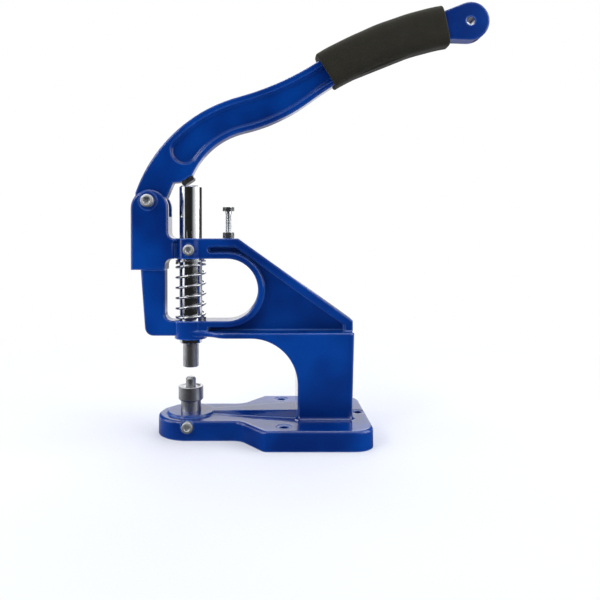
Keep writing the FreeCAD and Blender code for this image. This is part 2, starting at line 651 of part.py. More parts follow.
def platform_and_rib(body):
    """The round seat of the lower die and the widening rib that stiffens the tongue."""
    seat = new_sketch(body, "platform", "XY_Plane", "dims.base_thick - dims.root_overlap")
    circle(seat, ("0", "0"), "dims.platform_dia / 2")
    pad_up(body, seat, "dims.platform_height + dims.root_overlap")
    rise = size("at.platform_top")
    round_edges(body, "platform_edge", "dims.platform_height / 2.5",
                lambda middle, ends: all(near(end.z, rise) for end in ends)
                and near(math.hypot(middle.x, middle.y), size("dims.platform_dia / 2")))
    sections = []
    for name, x, height, width in (
            ("rib_nose", "dims.platform_dia / 2 - 3 * dims.root_overlap", "dims.platform_height",
             "dims.rib_nose_width"),
            ("rib_heel", "dims.column_front_x + dims.root_overlap", "dims.rib_heel_height",
             "dims.rib_heel_width")):
        section = new_sketch(body, name, "YZ_Plane", x)
        foot = "(%s / 2 + %s * dims.rib_flank)" % (width, height)
        top = "(dims.base_thick + %s)" % height
        polygon(section, [("-" + foot, "dims.base_thick"), (foot, "dims.base_thick"),
                          ("%s / 2" % width, top), ("-%s / 2" % width, top)])
        sections.append(section)
    rib = body.newObject("PartDesign::AdditiveLoft", "rib")
    rib.Profile = sections[0]
    rib.Sections = [sections[1]]
    rib.Ruled = True
    settle(rib)


def base_holes(body):
    """Three bolt holes with spot faces, and the blind socket of the lower die."""
    centres = [("dims.front_hole_x", "-at.front_hole_y"),
               ("dims.front_hole_x", "at.front_hole_y"), ("at.rear_hole", "0")]
    holes = new_sketch(body, "bolt_holes", "XY_Plane", "dims.base_thick")
    seats = new_sketch(body, "bolt_seats", "XY_Plane", "dims.base_thick + dims.foot_radius")
    for centre in centres:
        circle(holes, centre, "dims.bolt_hole_dia / 2")
        circle(seats, centre, "dims.spot_face_dia / 2")
    cut(body, holes, "dims.base_thick")
    cut(body, seats, "dims.foot_radius + dims.spot_face_depth")
    socket = new_sketch(body, "die_socket", "XY_Plane", "at.platform_top")
    circle(socket, ("0", "0"), "dims.shank_dia / 2 + dims.screw_clearance")
    cut(body, socket, "at.platform_top - dims.socket_floor")


def guide_holes(body):
    """Bores for the ram, the stop bolt and the two small screws, and the pivot hole."""
    bore = new_sketch(body, "ram_bore", "XY_Plane", "at.arm_top")
    circle(bore, ("0", "0"), "dims.ram_dia / 2 + dims.running_clearance")
    cut(body, bore, "at.arm_top - at.lower_boss")
    stop = new_sketch(body, "stop_hole", "XY_Plane", "at.arm_top")
    circle(stop, ("dims.stop_bolt_x", "0"), "dims.stop_dia / 2 + dims.screw_clearance")
    cut(body, stop, "dims.stop_engage + dims.stop_hole_spare")
    for name, height, seat in (("guide", "at.guide_screw_z", "at.guide_seat"),
                               ("die", "at.die_screw_z", "at.die_seat")):
        hole = new_sketch(body, name + "_screw_hole", "XZ_Plane", "dims.tongue_width / 2 + 1")
        circle(hole, ("0", height), "dims.small_screw_dia / 2 + dims.screw_clearance")
        cut(body, hole, "dims.tongue_width / 2 - dims.block_overlap")
        spot = new_sketch(body, name + "_screw_seat", "XZ_Plane", seat)
        circle(spot, ("0", height), "dims.small_seat_dia / 2")
        cut(body, spot, "dims.small_seat_dia", outward=True)
    pivot = new_sketch(body, "pivot_hole", "XZ_Plane")
    circle(pivot, ("dims.pivot_x", "at.pivot_z"), "dims.pivot_screw_dia / 2 + dims.screw_clearance")
    cut(body, pivot)
    spot = new_sketch(body, "pivot_seat", "XZ_Plane", "at.ear_width / 2 - dims.pivot_spot_depth")
    circle(spot, ("dims.pivot_x", "at.pivot_z"), "dims.pivot_spot_dia / 2")
    mirror_cut(body, cut(body, spot, "at.ear_width", outward=True), "XZ_Plane")


def frame_casting():
    """The one-piece iron frame."""
    body = new_body("frame_casting")
    arch(body)
    ledge_nose(body)
    round_arch(body)
    upper_arm(body)
    front_leg(body)
    ears(body)
    bosses(body)
    base_plate(body)
    platform_and_rib(body)
    base_holes(body)
    guide_holes(body)
    return body


# ---------------------------------------------------------------- lever and its pieces

def on_circle(name, radius, angle):
    """A point of a circle about a named centre, its angle in degrees."""
    return ("at.%s_x + (%s) * cos(%s)" % (name, radius, angle),
            "at.%s_z + (%s) * sin(%s)" % (name, radius, angle))


def between(first, second, radius):
    """The point on the line of centres where two of the lever's arcs meet."""
    run = "(at.%s_x - at.%s_x)" % (second, first)
    rise = "(at.%s_z - at.%s_z)" % (second, first)
    return ("at.%s_x + (%s) * %s / hypot(%s; %s)" % (first, radius, run, run, rise),
            "at.%s_z + (%s) * %s / hypot(%s; %s)" % (first, radius, rise, run, rise))


def on_bar(angle, sideways):
    """A point of the bar: the angle of its direction, and how far it lies off the middle."""
    return ("at.bar_x - (dims.bar_radius + (%s)) * sin(%s)" % (sideways, angle),
            "at.bar_z + (dims.bar_radius + (%s)) * cos(%s)" % (sideways, angle))


def along_pad(along, above):
    """A point measured along the wear pad from its lower round end, and square to it."""
    return ("dims.pad_x + (%s) * cos(dims.pad_angle) - (%s) * sin(dims.pad_angle)" % (along, above),
            "at.pad_z + (%s) * sin(dims.pad_angle) + (%s) * cos(dims.pad_angle)" % (along, above))


def hub_touch(x, z, turn):
    """Where a straight edge from a point, given from the pivot, comes to the hub's circle."""
    towards = "atan2(%s; %s)" % (z, x)
    aside = "acos(dims.hub_radius / hypot(%s; %s))" % (x, z)
    return on_circle("pivot", "dims.hub_radius", "((%s %s %s) / 1deg)" % (towards, turn, aside))


def tab_tangents():
    """Where the straight edges that widen the tail leave the bar and touch the tab."""
    middle = "(atan2(at.tab_z - at.tail_z; at.tab_x - at.tail_x) / 1deg)"
    run = "hypot(at.tab_z - at.tail_z; at.tab_x - at.tail_x)"
    widening = "(asin((dims.tab_radius - at.half_bar) / %s) / 1deg)" % run
    points = []
    for side in (1, -1):
        angle = "(%s + (%d) * %s)" % (middle, side, widening)
        for x, z, radius in (("at.tail_x", "at.tail_z", "at.half_bar"),
                             ("at.tab_x", "at.tab_z", "dims.tab_radius")):
            points.append(("%s - (%d) * %s * sin(%s)" % (x, side, radius, angle),
                           "%s + (%d) * %s * cos(%s)" % (z, side, radius, angle)))
    return points


def lever_outline(sketch):
    """Back, sweep, bar and tab along the top, then back along the underside to the toe."""
    tail_top, tab_top, tail_low, tab_low = tab_tangents()
    foot_x = "(dims.back_x - sqrt(dims.back_radius^2 - (dims.back_foot_z - dims.back_z)^2))"
    back_foot = ("dims.pivot_x + " + foot_x, "at.pivot_z + dims.back_foot_z")
    root = ("dims.pivot_x + dims.toe_root_x", "at.pivot_z + dims.toe_root_z")
    outline(sketch, back_foot, [
        ("arc", between("back", "sweep_top", "dims.back_radius"), -1, "dims.back_radius"),
        ("arc", between("bar", "sweep_top", "at.bar_top"), 1, "dims.sweep_top_radius"),
        ("arc", tail_top, -1, "at.bar_top"),
        ("line", tab_top),
        ("arc", tab_low, -1, "dims.tab_radius", "large"),
        ("line", tail_low),
        ("arc", between("bar", "sweep_low", "at.bar_low"), 1, "at.bar_low"),
        ("arc", between("belly", "sweep_low", "dims.belly_radius"), -1, "dims.sweep_low_radius"),
        ("arc", along_pad("at.toe_tip", "dims.pad_thick / 2"), 1, "dims.belly_radius"),
        ("line", along_pad("-dims.toe_heel", "dims.pad_thick / 2")),
        ("line", root),
        ("line", hub_touch("dims.toe_root_x", "dims.toe_root_z", "-")),
        ("line", hub_touch(foot_x, "dims.back_foot_z", "+")),
        ("line", back_foot)])


def pocket_outline(sketch):
    """The hollow in the lever's sides, a rim's width inside its edges."""
    back = "(dims.back_radius - dims.rim_top)"
    belly = "(dims.belly_radius + dims.rim_low)"
    sweep_top = "(dims.sweep_top_radius + dims.rim_top)"
    sweep_low = "(dims.sweep_low_radius - dims.rim_low)"
    bar_top = "(at.bar_top - dims.rim_top)"
    bar_low = "(at.bar_low + dims.rim_low)"
    start = on_circle("back", back, "dims.pocket_top_angle")
    outline(sketch, start, [
        ("arc", between("back", "sweep_top", back), -1, back),
        ("arc", between("bar", "sweep_top", bar_top), 1, sweep_top),
        ("arc", on_bar("dims.pocket_tail_angle", "at.half_bar - dims.rim_top"), -1, bar_top),
        ("line", on_bar("dims.pocket_tail_angle", "dims.rim_low - at.half_bar")),
        ("arc", between("bar", "sweep_low", bar_low), 1, bar_low),
        ("arc", between("belly", "sweep_low", belly), -1, sweep_low),
        ("arc", on_circle("belly", belly, "dims.pocket_low_angle"), 1, belly),
        ("half", start, -1)])


def pad_sketch(body, name, above):
    """A sketch parallel to the wear pad's faces, at a height above the pad's middle."""
    sketch = new_sketch(body, name, "XY_Plane")
    sketch.AttachmentOffset = Placement(Vector(0, 0, 0), Rotation(Vector(0, -1, 0), 1))
    middle = along_pad("dims.pad_reach / 2", above)
    bind(sketch, "AttachmentOffset.Base.x", middle[0])
    bind(sketch, "AttachmentOffset.Base.z", middle[1])
    bind(sketch, "AttachmentOffset.Rotation.Angle", "dims.pad_angle")
    return sketch


def rivet_circles(sketch, radius):
    """The two rivets stand side by side across the pad."""
    for side in ("-", ""):
        circle(sketch, ("0", side + "dims.rivet_pitch / 2"), radius)


def lever_casting():
    """A cast lever of I-section: full-width rims round a thinner web."""
    body = new_body("lever_casting")
    blank = new_sketch(body, "lever_blank", "XZ_Plane")
    lever_outline(blank)
    pad_across(body, blank, "at.lever_width")
    half = size("at.lever_width") / 2
    toe = size("dims.pad_x + at.toe_tip")
    toe_top = size("at.ram_top") + 10
    pivot = size("at.pivot_x") - 1
    round_edges(body, "lever_edges", "dims.lever_edge_radius",
                lambda middle, ends: in_plane(ends + [middle], "y", half)
                and not (pivot < middle.x < toe and middle.z < toe_top))
    floor = size("dims.lever_web / 2")
    hollow = new_sketch(body, "lever_pocket", "XZ_Plane", "dims.lever_web / 2")
    pocket_outline(hollow)
    mirror_cut(body, cut(body, hollow, "at.lever_width", outward=True), "XZ_Plane")
    round_edges(body, "pocket_floor", "dims.pocket_floor_radius",
                lambda middle, ends: in_plane(ends + [middle], "y", floor) and inside_pocket(middle))
    round_edges(body, "pocket_edges", "dims.pocket_edge_radius",
                lambda middle, ends: in_plane(ends + [middle], "y", half) and inside_pocket(middle))
    hub = new_sketch(body, "lever_hub", "XZ_Plane")
    circle(hub, ("dims.pivot_x", "at.pivot_z"), "dims.hub_radius")
    pad_across(body, hub, "at.lever_width")
    holes = new_sketch(body, "lever_holes", "XZ_Plane")
    circle(holes, ("dims.pivot_x", "at.pivot_z"), "dims.pivot_screw_dia / 2 + dims.running_clearance")
    circle(holes, ("at.tab_x", "at.tab_z"), "dims.hang_hole_dia / 2")
    cut(body, holes)
    rivets = pad_sketch(body, "toe_rivet_holes", "dims.pad_thick / 2")
    rivet_circles(rivets, "dims.rivet_dia / 2 + dims.screw_clearance")
    cut(body, rivets, "dims.rivet_depth + dims.rivet_sink", outward=True)
    return body


def inside_pocket(middle):
    """Whether an edge's middle belongs to the lever's pocket and not to its outline."""
    back = math.hypot(middle.x - size("at.back_x"), middle.z - size("at.back_z"))
    belly = math.hypot(middle.x - size("at.belly_x"), middle.z - size("at.belly_z"))
    sweep_top = math.hypot(middle.x - size("at.sweep_top_x"), middle.z - size("at.sweep_top_z"))
    sweep_low = math.hypot(middle.x - size("at.sweep_low_x"), middle.z - size("at.sweep_low_z"))
    bar = math.hypot(middle.x - size("at.bar_x"), middle.z - size("at.bar_z"))
    inner = size("dims.lever_edge_radius") + 0.5
    if middle.x > size(between("bar", "sweep_top", "at.bar_top")[0]):
        return abs(bar - size("dims.bar_radius")) < size("at.half_bar") - inner
    if middle.x > size(between("back", "sweep_top", "dims.back_radius")[0]):
        return (sweep_top > size("dims.sweep_top_radius") + inner
                and sweep_low < size("dims.sweep_low_radius") - inner)
    return back < size("dims.back_radius") - inner and belly > size("dims.belly_radius") + inner


def wear_pad():
    """A hardened plate with round ends, riveted under the lever's toe."""
    body = new_body("lever_wear_pad")
    sketch = new_sketch(body, "pad_plate", "XZ_Plane")
    half = "dims.pad_thick / 2"
    start = along_pad("0", half)
    outline(sketch, start, [
        ("line", along_pad("dims.pad_reach", half)),
        ("half", along_pad("dims.pad_reach", "-" + half), -1),
        ("line", along_pad("0", "-" + half)),
        ("half", start, -1)])
    pad_across(body, sketch, "at.pad_width")
    holes = pad_sketch(body, "pad_rivet_holes", "0")
    rivet_circles(holes, "dims.rivet_dia / 2 + dims.screw_clearance")
    cut(body, holes)
    return body


def pad_rivets():
    """Two rivets, flush with the pad's working face and headed in the toe."""
    pair = []
    for number, side in enumerate(("-", "")):
        body = new_body("pad_rivet_%d" % (number + 1))
        sketch = pad_sketch(body, "rivet_%d_section" % (number + 1),
                            "dims.rivet_sink - dims.pad_thick / 2")
        circle(sketch, ("0", side + "dims.rivet_pitch / 2"), "dims.rivet_dia / 2")
        pad_up(body, sketch, "dims.pad_thick + dims.rivet_depth - dims.rivet_sink")
        pair.append(body)
    group = DOC.addObject("Part::Compound", "pad_rivets")
    group.Label = "pad_rivets"
    group.Links = pair
    return group


def handle_grip():
    """A foam sleeve, thicker at its tail, with a cavity for the lever's bar."""
    body = new_body("handle_grip")
    sketch = new_sketch(body, "grip_side", "XZ_Plane")
    mouth_top = "(at.half_bar + dims.grip_wall + dims.grip_lift)"
    mouth_low = "(at.half_bar + dims.grip_wall - dims.grip_lift)"
    end_half = "(at.half_bar + dims.grip_wall + dims.grip_swell / 2)"
    start = on_bar("dims.grip_start_angle", mouth_top)
    outline(sketch, start, [
        ("arc", on_bar("dims.grip_end_angle", end_half), -1, "dims.bar_radius + " + mouth_top),
        ("line", on_bar("dims.grip_end_angle", "-" + end_half)),
        ("arc", on_bar("dims.grip_start_angle", "-" + mouth_low), 1,
         "dims.bar_radius - " + end_half),
        ("line", start)])
    pad_across(body, sketch, "at.lever_width + 2 * dims.grip_wall")
    half = size("at.lever_width") / 2 + size("dims.grip_wall")
    start_x = size(on_bar("dims.grip_start_angle", "0")[0])
    end_x = size(on_bar("dims.grip_end_angle", "0")[0])
    round_edges(body, "grip_rounding", "dims.grip_round",
                lambda middle, ends: in_plane(ends + [middle], "y", half)
                and start_x + 15 < middle.x < end_x - 15)
    cavity = new_sketch(body, "grip_cavity", "XZ_Plane")
    clear = "(at.half_bar + dims.grip_gap)"
    before = "(dims.grip_start_angle + 1)"
    after = "(dims.grip_end_angle - 1)"
    mouth = on_bar(before, clear)
    outline(cavity, mouth, [
        ("arc", on_bar(after, clear), -1, "dims.bar_radius + " + clear),
        ("line", on_bar(after, "-" + clear)),
        ("arc", on_bar(before, "-" + clear), 1, "dims.bar_radius - " + clear),
        ("line", mouth)])
    cut(body, cavity, "at.lever_width + 2 * dims.grip_gap", both_ways=True)
    return body


# ---------------------------------------------------------------- ram, spring and dies

def ram():
    """The polished ram, its ring groove, its keyway and the tapped hole for the die."""
    body = new_body("ram")
    radius = "dims.ram_dia / 2"
    start = ("0", "at.ram_bottom")
    neck = "(%s - dims.ring_groove_depth)" % radius
    revolve(body, "ram_profile", start, lines(
        (radius + " - dims.turned_chamfer", "at.ram_bottom"),
        (radius, "at.ram_bottom + dims.turned_chamfer"),
        (radius, "at.ring_bottom"), (neck, "at.ring_bottom"),
        (neck, "at.ring_top"), (radius, "at.ring_top"), (radius, "at.ram_top - dims.ram_chamfer"),
        (radius + " - dims.ram_chamfer", "at.ram_top"), ("0", "at.ram_top"), start))
    stem = new_sketch(body, "stem_hole", "XY_Plane", "at.ram_bottom")
    circle(stem, ("0", "0"), "dims.die_stem_dia / 2 + dims.screw_clearance")
    cut(body, stem, "dims.die_stem_length + dims.stem_spare", outward=True)
    keyway = new_sketch(body, "keyway", "XZ_Plane", radius + " - dims.keyway_depth")
    half = "dims.keyway_width / 2"
    start = ("-" + half, "at.guide_screw_z")
    outline(keyway, start, [
        ("half", (half, "at.guide_screw_z"), 1),
        ("line", (half, "at.guide_screw_z + dims.stroke")),
        ("half", ("-" + half, "at.guide_screw_z + dims.stroke"), 1),
        ("line", start)])
    cut(body, keyway, radius, outward=True)
    return body


def retaining_ring():
    """An open ring sprung into the ram's groove."""
    body = new_body("retaining_ring")
    inner = "(dims.ram_dia / 2 - dims.ring_groove_depth + dims.running_clearance)"
    outer = "at.ring_radius"
    start = (inner, "at.ring_bottom")
    revolve(body, "ring_profile", start, lines((outer, "at.ring_bottom"), (outer, "at.ring_top"),
                                               (inner, "at.ring_top"), start))
    opening = new_sketch(body, "ring_opening", "XY_Plane")
    polygon(opening, [("0", "-dims.ring_gap / 2"), ("2 * at.ring_radius", "-dims.ring_gap / 2"),
                      ("2 * at.ring_radius", "dims.ring_gap / 2"), ("0", "dims.ring_gap / 2")])
    cut(body, opening)
    return body


def spring_washer():
    """The flat washer between the spring and the retaining ring."""
    body = new_body("spring_washer")
    inner = "(dims.ram_dia / 2 + dims.washer_play)"
    outer = "(at.coil_radius + dims.wire_dia / 2 - dims.washer_inset)"
    start = (inner, "at.washer_bottom")
    revolve(body, "washer_profile", start, lines((outer, "at.washer_bottom"), (outer, "at.ring_bottom"),
                                                 (inner, "at.ring_bottom"), start))
    return body


def spring_height(share, height, wire, turns, closed):
    """Height of the wire's middle at a share of the coil: flat turns at both ends."""
    turned = share * turns
    slow = wire * 1.02
    open_turns = turns - 2 * closed
    pitch = (height - wire - 2 * closed * slow) / open_turns
    lift = min(turned, closed) * slow
    lift += min(max(turned - closed, 0), open_turns) * pitch
    lift += max(turned - closed - open_turns, 0) * slow
    return wire / 2 + lift


def return_spring():
    """A right-handed compression spring with closed ends."""
    bottom = size("at.window_bottom")
    height = size("at.washer_bottom - dims.spring_gap - at.window_bottom")
    radius = size("at.coil_radius")
    wire = size("dims.wire_dia")
    turns = size("dims.coil_turns")
    closed = size("dims.closed_turns")
    steps = int(turns * 8)
    points = []
    for step in range(steps + 1):
        share = step / steps
        angle = 2 * math.pi * turns * share
        lift = spring_height(share, height, wire, turns, closed)
        points.append(Vector(radius * math.cos(angle), radius * math.sin(angle), bottom + lift))
    line = Part.BSplineCurve()
    line.interpolate(points)
    path = Part.Wire([line.toShape()])
    direction = line.tangent(line.FirstParameter)[0]
    section = Part.Wire([Part.Circle(points[0], direction, wire / 2).toShape()])
    coil = DOC.addObject("Part::Feature", "return_spring")
    coil.Label = "return_spring"
    coil.Shape = path.makePipeShell([section], True, True)
    return coil


def upper_die():
    """The hollow curling die, with the stem that screws into the ram."""
    body = new_body("upper_die")
    outer = "dims.upper_die_dia / 2"
    bore = "at.die_bore"
    stem = "dims.die_stem_dia / 2"
    top = "at.ram_bottom"
    low = "(at.ram_bottom - dims.upper_die_length)"
    curl = "((dims.upper_die_dia / 2 - at.die_bore) / 2)"
    start = ("0", "%s + dims.die_stem_length" % top)
    revolve(body, "upper_die_profile", start, [
        ("line", ("0", "%s + dims.die_bore_depth" % low)),
        ("line", (bore, "%s + dims.die_bore_depth" % low)),
        ("line", (bore, "%s + %s" % (low, curl))),
        ("arc", ("%s + %s" % (bore, curl), low), 1, curl + " * 1.05"),
        ("line", (outer + " - dims.turned_chamfer", low)),
        ("line", (outer, low + " + dims.turned_chamfer")),
        ("line", (outer, top)),
        ("line", (stem, top)),
        ("line", (stem, "%s + dims.die_stem_length - dims.turned_chamfer" % top)),
        ("line", (stem + " - dims.turned_chamfer", "%s + dims.die_stem_length" % top)),
        ("line", start)])
    return body


def lower_die():
    """The setting die: shank in the base's socket, dished head and domed pilot."""
    body = new_body("lower_die")
    shank = "dims.shank_dia / 2"
    head = "at.die_head"
    pilot = "dims.pilot_dia / 2"
    low = "at.lower_die_z"
    top = "(at.lower_die_z + dims.lower_die_height)"
    peak = "(%s + dims.pilot_height)" % top
    dish = "(%s - dims.die_dish_depth)" % top
    start = ("0", "dims.socket_floor")
    revolve(body, "lower_die_profile", start, [
        ("line", (shank + " - dims.turned_chamfer", "dims.socket_floor")),
        ("line", (shank, "dims.socket_floor + dims.turned_chamfer")),
        ("line", (shank, low)),
        ("line", (head + " - dims.die_heel_chamfer", low)),
        ("line", (head, low + " + dims.die_heel_chamfer")),
        ("line", (head, top + " - dims.fine_chamfer")),
        ("line", (head + " - dims.fine_chamfer", top)),
        ("line", (head + " - dims.die_ring_wall", top)),
        ("arc", (pilot, dish), -1, "at.die_head / 2"),
        ("line", (pilot, peak + " - dims.pilot_crown_drop")),
        ("line", (pilot + " - dims.pilot_crown_width", peak + " - dims.pilot_cap_drop")),
        ("line", ("dims.pilot_dia / 5", peak)),
        ("line", ("0", peak)),
        ("line", start)])
    flat = new_sketch(body, "shank_flat", "XZ_Plane", shank + " - dims.shank_flat_depth")
    wide = "dims.small_screw_dia"
    polygon(flat, [("-" + wide, "at.die_screw_z - " + wide + " * 0.8"),
                   (wide, "at.die_screw_z - " + wide + " * 0.8"),
                   (wide, "at.die_screw_z + " + wide + " * 0.8"),
                   ("-" + wide, "at.die_screw_z + " + wide + " * 0.8")])
    cut(body, flat, shank, outward=True)
    return body


# ---------------------------------------------------------------- screws, nuts and washers

def cap_screw(name, diameter, head, height, socket, length, dog="0", dog_length="0"):
    """A socket-head cap screw with its head above Z = 0 and its shank below."""
    body = new_body(name)
    radius = "(%s) / 2" % diameter
    rim = "(%s) / 2" % head
    tip = dog if dog != "0" else diameter
    start = ("0", "-(%s)" % length)
    shank_end = "-(%s) + (%s)" % (length, dog_length)
    steps = [("line", ("(%s) / 2 - dims.fine_chamfer" % tip, "-(%s)" % length)),
             ("line", ("(%s) / 2" % tip, "-(%s) + dims.fine_chamfer" % length))]
    if dog != "0":
        steps += [("line", ("(%s) / 2" % tip, shank_end)), ("line", (radius, shank_end))]
    steps += lines((radius, "0"), (rim, "0"), (rim, height + " - dims.turned_chamfer"),
                   (rim + " - dims.turned_chamfer", height), ("0", height), start)
    revolve(body, name + "_profile", start, steps)
    hexed = new_sketch(body, name + "_socket", "XY_Plane", height)
    hexagon(hexed, socket)
    cut(body, hexed, height + " / 2")
    return body


def face_forward(body, x, y, z):
    """Turn a screw modelled along Z so that its head faces the near side, and place it."""
    body.Placement = Placement(Vector(0, 0, 0), Rotation(Vector(1, 0, 0), 90))
    place(body, x, y, z)


def hex_blank(body, name, flats, low, high):
    """Trim a turned blank to a hexagon between two heights."""
    trim = new_sketch(body, name, "XY_Plane", high)
    hexagon(trim, flats)
    circle(trim, ("0", "0"), flats)
    cut(body, trim, "(%s) - (%s)" % (high, low))


def hex_nut(name, flats, height, bore):
    """A chamfered hexagon nut standing on Z = 0."""
    body = new_body(name)
    corner = "(%s / 2 / cos(30))" % flats
    ease = "(%s - %s / 2)" % (corner, flats)
    start = ("(%s) / 2" % bore, "0")
    revolve(body, name + "_profile", start, lines(
        (flats + " / 2", "0"), (corner, ease + " * 0.6"), (corner, "%s - %s * 0.6" % (height, ease)),
        (flats + " / 2", height), ("(%s) / 2" % bore, height), start))
    hex_blank(body, name + "_flats", flats, "0", height)
    return body


def stop_bolt():
    """The adjustable hexagon-head bolt that can limit the lever's swing."""
    body = new_body("stop_bolt")
    corner = "(dims.stop_flats / 2 / cos(30))"
    ease = "(%s - dims.stop_flats / 2)" % corner
    radius = "dims.stop_dia / 2"
    height = "dims.stop_head_height"
    start = ("0", "-at.stop_length")
    revolve(body, "stop_bolt_profile", start, lines(
        (radius + " - dims.turned_chamfer", "-at.stop_length"),
        (radius, "-at.stop_length + dims.turned_chamfer"), (radius, "0"), (corner, "0"),
        (corner, height + " - " + ease + " * 0.6"), ("dims.stop_flats / 2", height),
        ("0", height), start))
    hex_blank(body, "stop_bolt_flats", "dims.stop_flats", "0", height)
    place(body, "dims.stop_bolt_x", "0", "at.stop_head_z")
    return body


def pivot_set():
    """The pivot screw through both ears, with its washer and nut on the far side."""
    seat = "(at.ear_width / 2 - dims.pivot_spot_depth)"
    stack = "(dims.pivot_washer_thick + dims.nut_height)"
    screw = cap_screw("pivot_bolt", "dims.pivot_screw_dia", "dims.pivot_head_dia",
                      "dims.pivot_head_height", "dims.pivot_hex",
                      "2 * %s + %s + dims.thread_tail" % (seat, stack))
    face_forward(screw, "dims.pivot_x", "-" + seat, "at.pivot_z")
    washer = new_body("pivot_washer")
    inner = "(dims.pivot_screw_dia / 2 + dims.bolt_play)"
    outer = "dims.pivot_washer_dia / 2"
    start = (inner, "0")
    revolve(washer, "pivot_washer_profile", start, lines(
        (outer, "0"), (outer, "dims.pivot_washer_thick"), (inner, "dims.pivot_washer_thick"), start))
    face_forward(washer, "dims.pivot_x", "%s + dims.pivot_washer_thick" % seat, "at.pivot_z")
    nut = hex_nut("pivot_nut", "dims.nut_flats", "dims.nut_height",
                  "dims.pivot_screw_dia + 2 * dims.screw_clearance")
    face_forward(nut, "dims.pivot_x", "%s + %s" % (seat, stack), "at.pivot_z")
    return [screw, washer, nut]


def small_screws():
    """The guide screw in the upper boss and the clamp screw of the lower die."""
    tip = "(dims.ram_dia / 2 - dims.keyway_depth + dims.screw_tip_gap)"
    guide = cap_screw("guide_screw", "dims.small_screw_dia", "dims.small_head_dia",
                      "dims.small_head_height", "dims.small_hex", "at.guide_seat - " + tip,
                      "dims.guide_dog_dia", "dims.ram_dia / 2 + dims.dog_clear - " + tip)
    face_forward(guide, "0", "-at.guide_seat", "at.guide_screw_z")
    clamp = cap_screw("die_screw", "dims.small_screw_dia", "dims.small_head_dia",
                      "dims.small_head_height", "dims.small_hex",
                      "at.die_seat - (dims.shank_dia / 2 - dims.shank_flat_depth)")
    face_forward(clamp, "0", "-at.die_seat", "at.die_screw_z")
    return [guide, clamp]


def stop_lock_nut():
    """The nut that locks the stop bolt on top of the arm."""
    nut = hex_nut("stop_lock_nut", "dims.stop_flats", "dims.stop_nut_height",
                  "dims.stop_dia + 2 * dims.screw_clearance")
    place(nut, "dims.stop_bolt_x", "0", "at.arm_top")
    return nut


# ---------------------------------------------------------------- build, check, write

def check_document():
    """Stop if any object of the document failed to rebuild."""
    for item in DOC.Objects:
        if "Invalid" in item.State or "Error" in item.State:
            raise RuntimeError("%s is in state %s" % (item.Name, item.State))


def write_parts(pieces):
    """Write each piece to a file named by its label."""
    os.makedirs("parts", exist_ok=True)
    for piece in pieces:
        shape = piece.Shape
        if shape.isNull() or not shape.isValid() or not shape.Solids:
            raise RuntimeError(piece.Label + " has no valid solid")
        shape.exportStep("parts/%s.step" % piece.Label)
        box = shape.BoundBox
        print("%-18s %8.0f mm3  X %7.1f..%6.1f  Y %6.1f..%5.1f  Z %6.1f..%6.1f" % (
            piece.Label, shape.Volume, box.XMin, box.XMax, box.YMin, box.YMax, box.ZMin, box.ZMax))


def main():
    """Build every piece, check the document and write the files."""
    pieces = [frame_casting(), lever_casting(), wear_pad(), pad_rivets(), handle_grip(), ram(),
              retaining_ring(), spring_washer(), return_spring(), upper_die(), lower_die(),
              stop_bolt(), stop_lock_nut()]
    pieces += pivot_set()
    pieces += small_screws()
    DOC.recompute()
    check_document()
    write_parts(pieces)


main()
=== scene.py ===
import math

import bmesh
import bpy
import numpy as np
from bpy.props import FloatProperty, IntProperty, PointerProperty, StringProperty
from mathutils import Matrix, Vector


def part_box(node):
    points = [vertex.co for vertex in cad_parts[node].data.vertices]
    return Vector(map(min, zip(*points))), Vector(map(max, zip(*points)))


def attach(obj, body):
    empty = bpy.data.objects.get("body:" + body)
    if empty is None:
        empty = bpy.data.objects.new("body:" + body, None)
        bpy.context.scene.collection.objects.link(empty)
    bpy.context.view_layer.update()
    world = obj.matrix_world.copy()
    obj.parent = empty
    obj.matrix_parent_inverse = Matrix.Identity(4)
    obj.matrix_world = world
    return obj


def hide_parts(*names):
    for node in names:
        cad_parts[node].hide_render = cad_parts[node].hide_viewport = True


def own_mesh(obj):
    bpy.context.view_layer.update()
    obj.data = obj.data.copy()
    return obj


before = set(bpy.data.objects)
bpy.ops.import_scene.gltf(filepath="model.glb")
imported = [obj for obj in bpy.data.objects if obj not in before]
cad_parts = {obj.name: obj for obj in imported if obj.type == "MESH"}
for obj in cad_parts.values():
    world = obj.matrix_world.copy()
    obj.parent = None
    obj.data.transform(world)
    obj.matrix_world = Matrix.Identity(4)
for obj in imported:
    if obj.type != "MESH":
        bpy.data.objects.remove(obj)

bl_info = {
    "name": "Eyelet machine finish",
    "version": (1, 0, 0),
    "blender": (4, 5, 0),
    "location": "3D View > Sidebar > Eyelet",
    "description": "Paints, plates and details a hand-lever eyelet machine",
    "category": "Object",
}

MM = 0.001
SHARP_ANGLE = math.radians(32)
PATCH_TURN = math.radians(16)
# Name, place, width and height in metres, power in watts.
LAMPS = (
    ("key_lamp", (-0.70, -0.80, 0.75), 0.40, 0.40, 4.2),
    ("top_lamp", (0.10, 0.10, 1.15), 1.00, 0.60, 6.5),
    ("left_lamp", (-0.80, -0.10, 0.40), 0.70, 0.90, 3.2),
    ("right_lamp", (0.95, -0.15, 0.55), 0.80, 0.90, 5.8),
    ("back_lamp", (0.10, 0.85, 0.70), 0.80, 0.60, 3.0),
)
# Node, piece, then in millimetres: shank, head, head height, socket, threaded length.
CAP_SCREWS = (
    ("guide_screw", "guide_cap_screw", 5.0, 8.5, 5.0, 4.0, 0.0),
    ("die_screw", "die_cap_screw", 5.0, 8.5, 5.0, 4.0, 0.0),
    ("pivot_bolt", "pivot_cap_screw", 6.0, 10.0, 6.0, 5.0, 10.0),
)
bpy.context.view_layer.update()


# ---------------------------------------------------------------- settings a user may change

def millimetres(name, description, value):
    """A length property whose default is given in millimetres."""
    return FloatProperty(name=name, description=description, default=value * MM, unit="LENGTH",
                         precision=5)


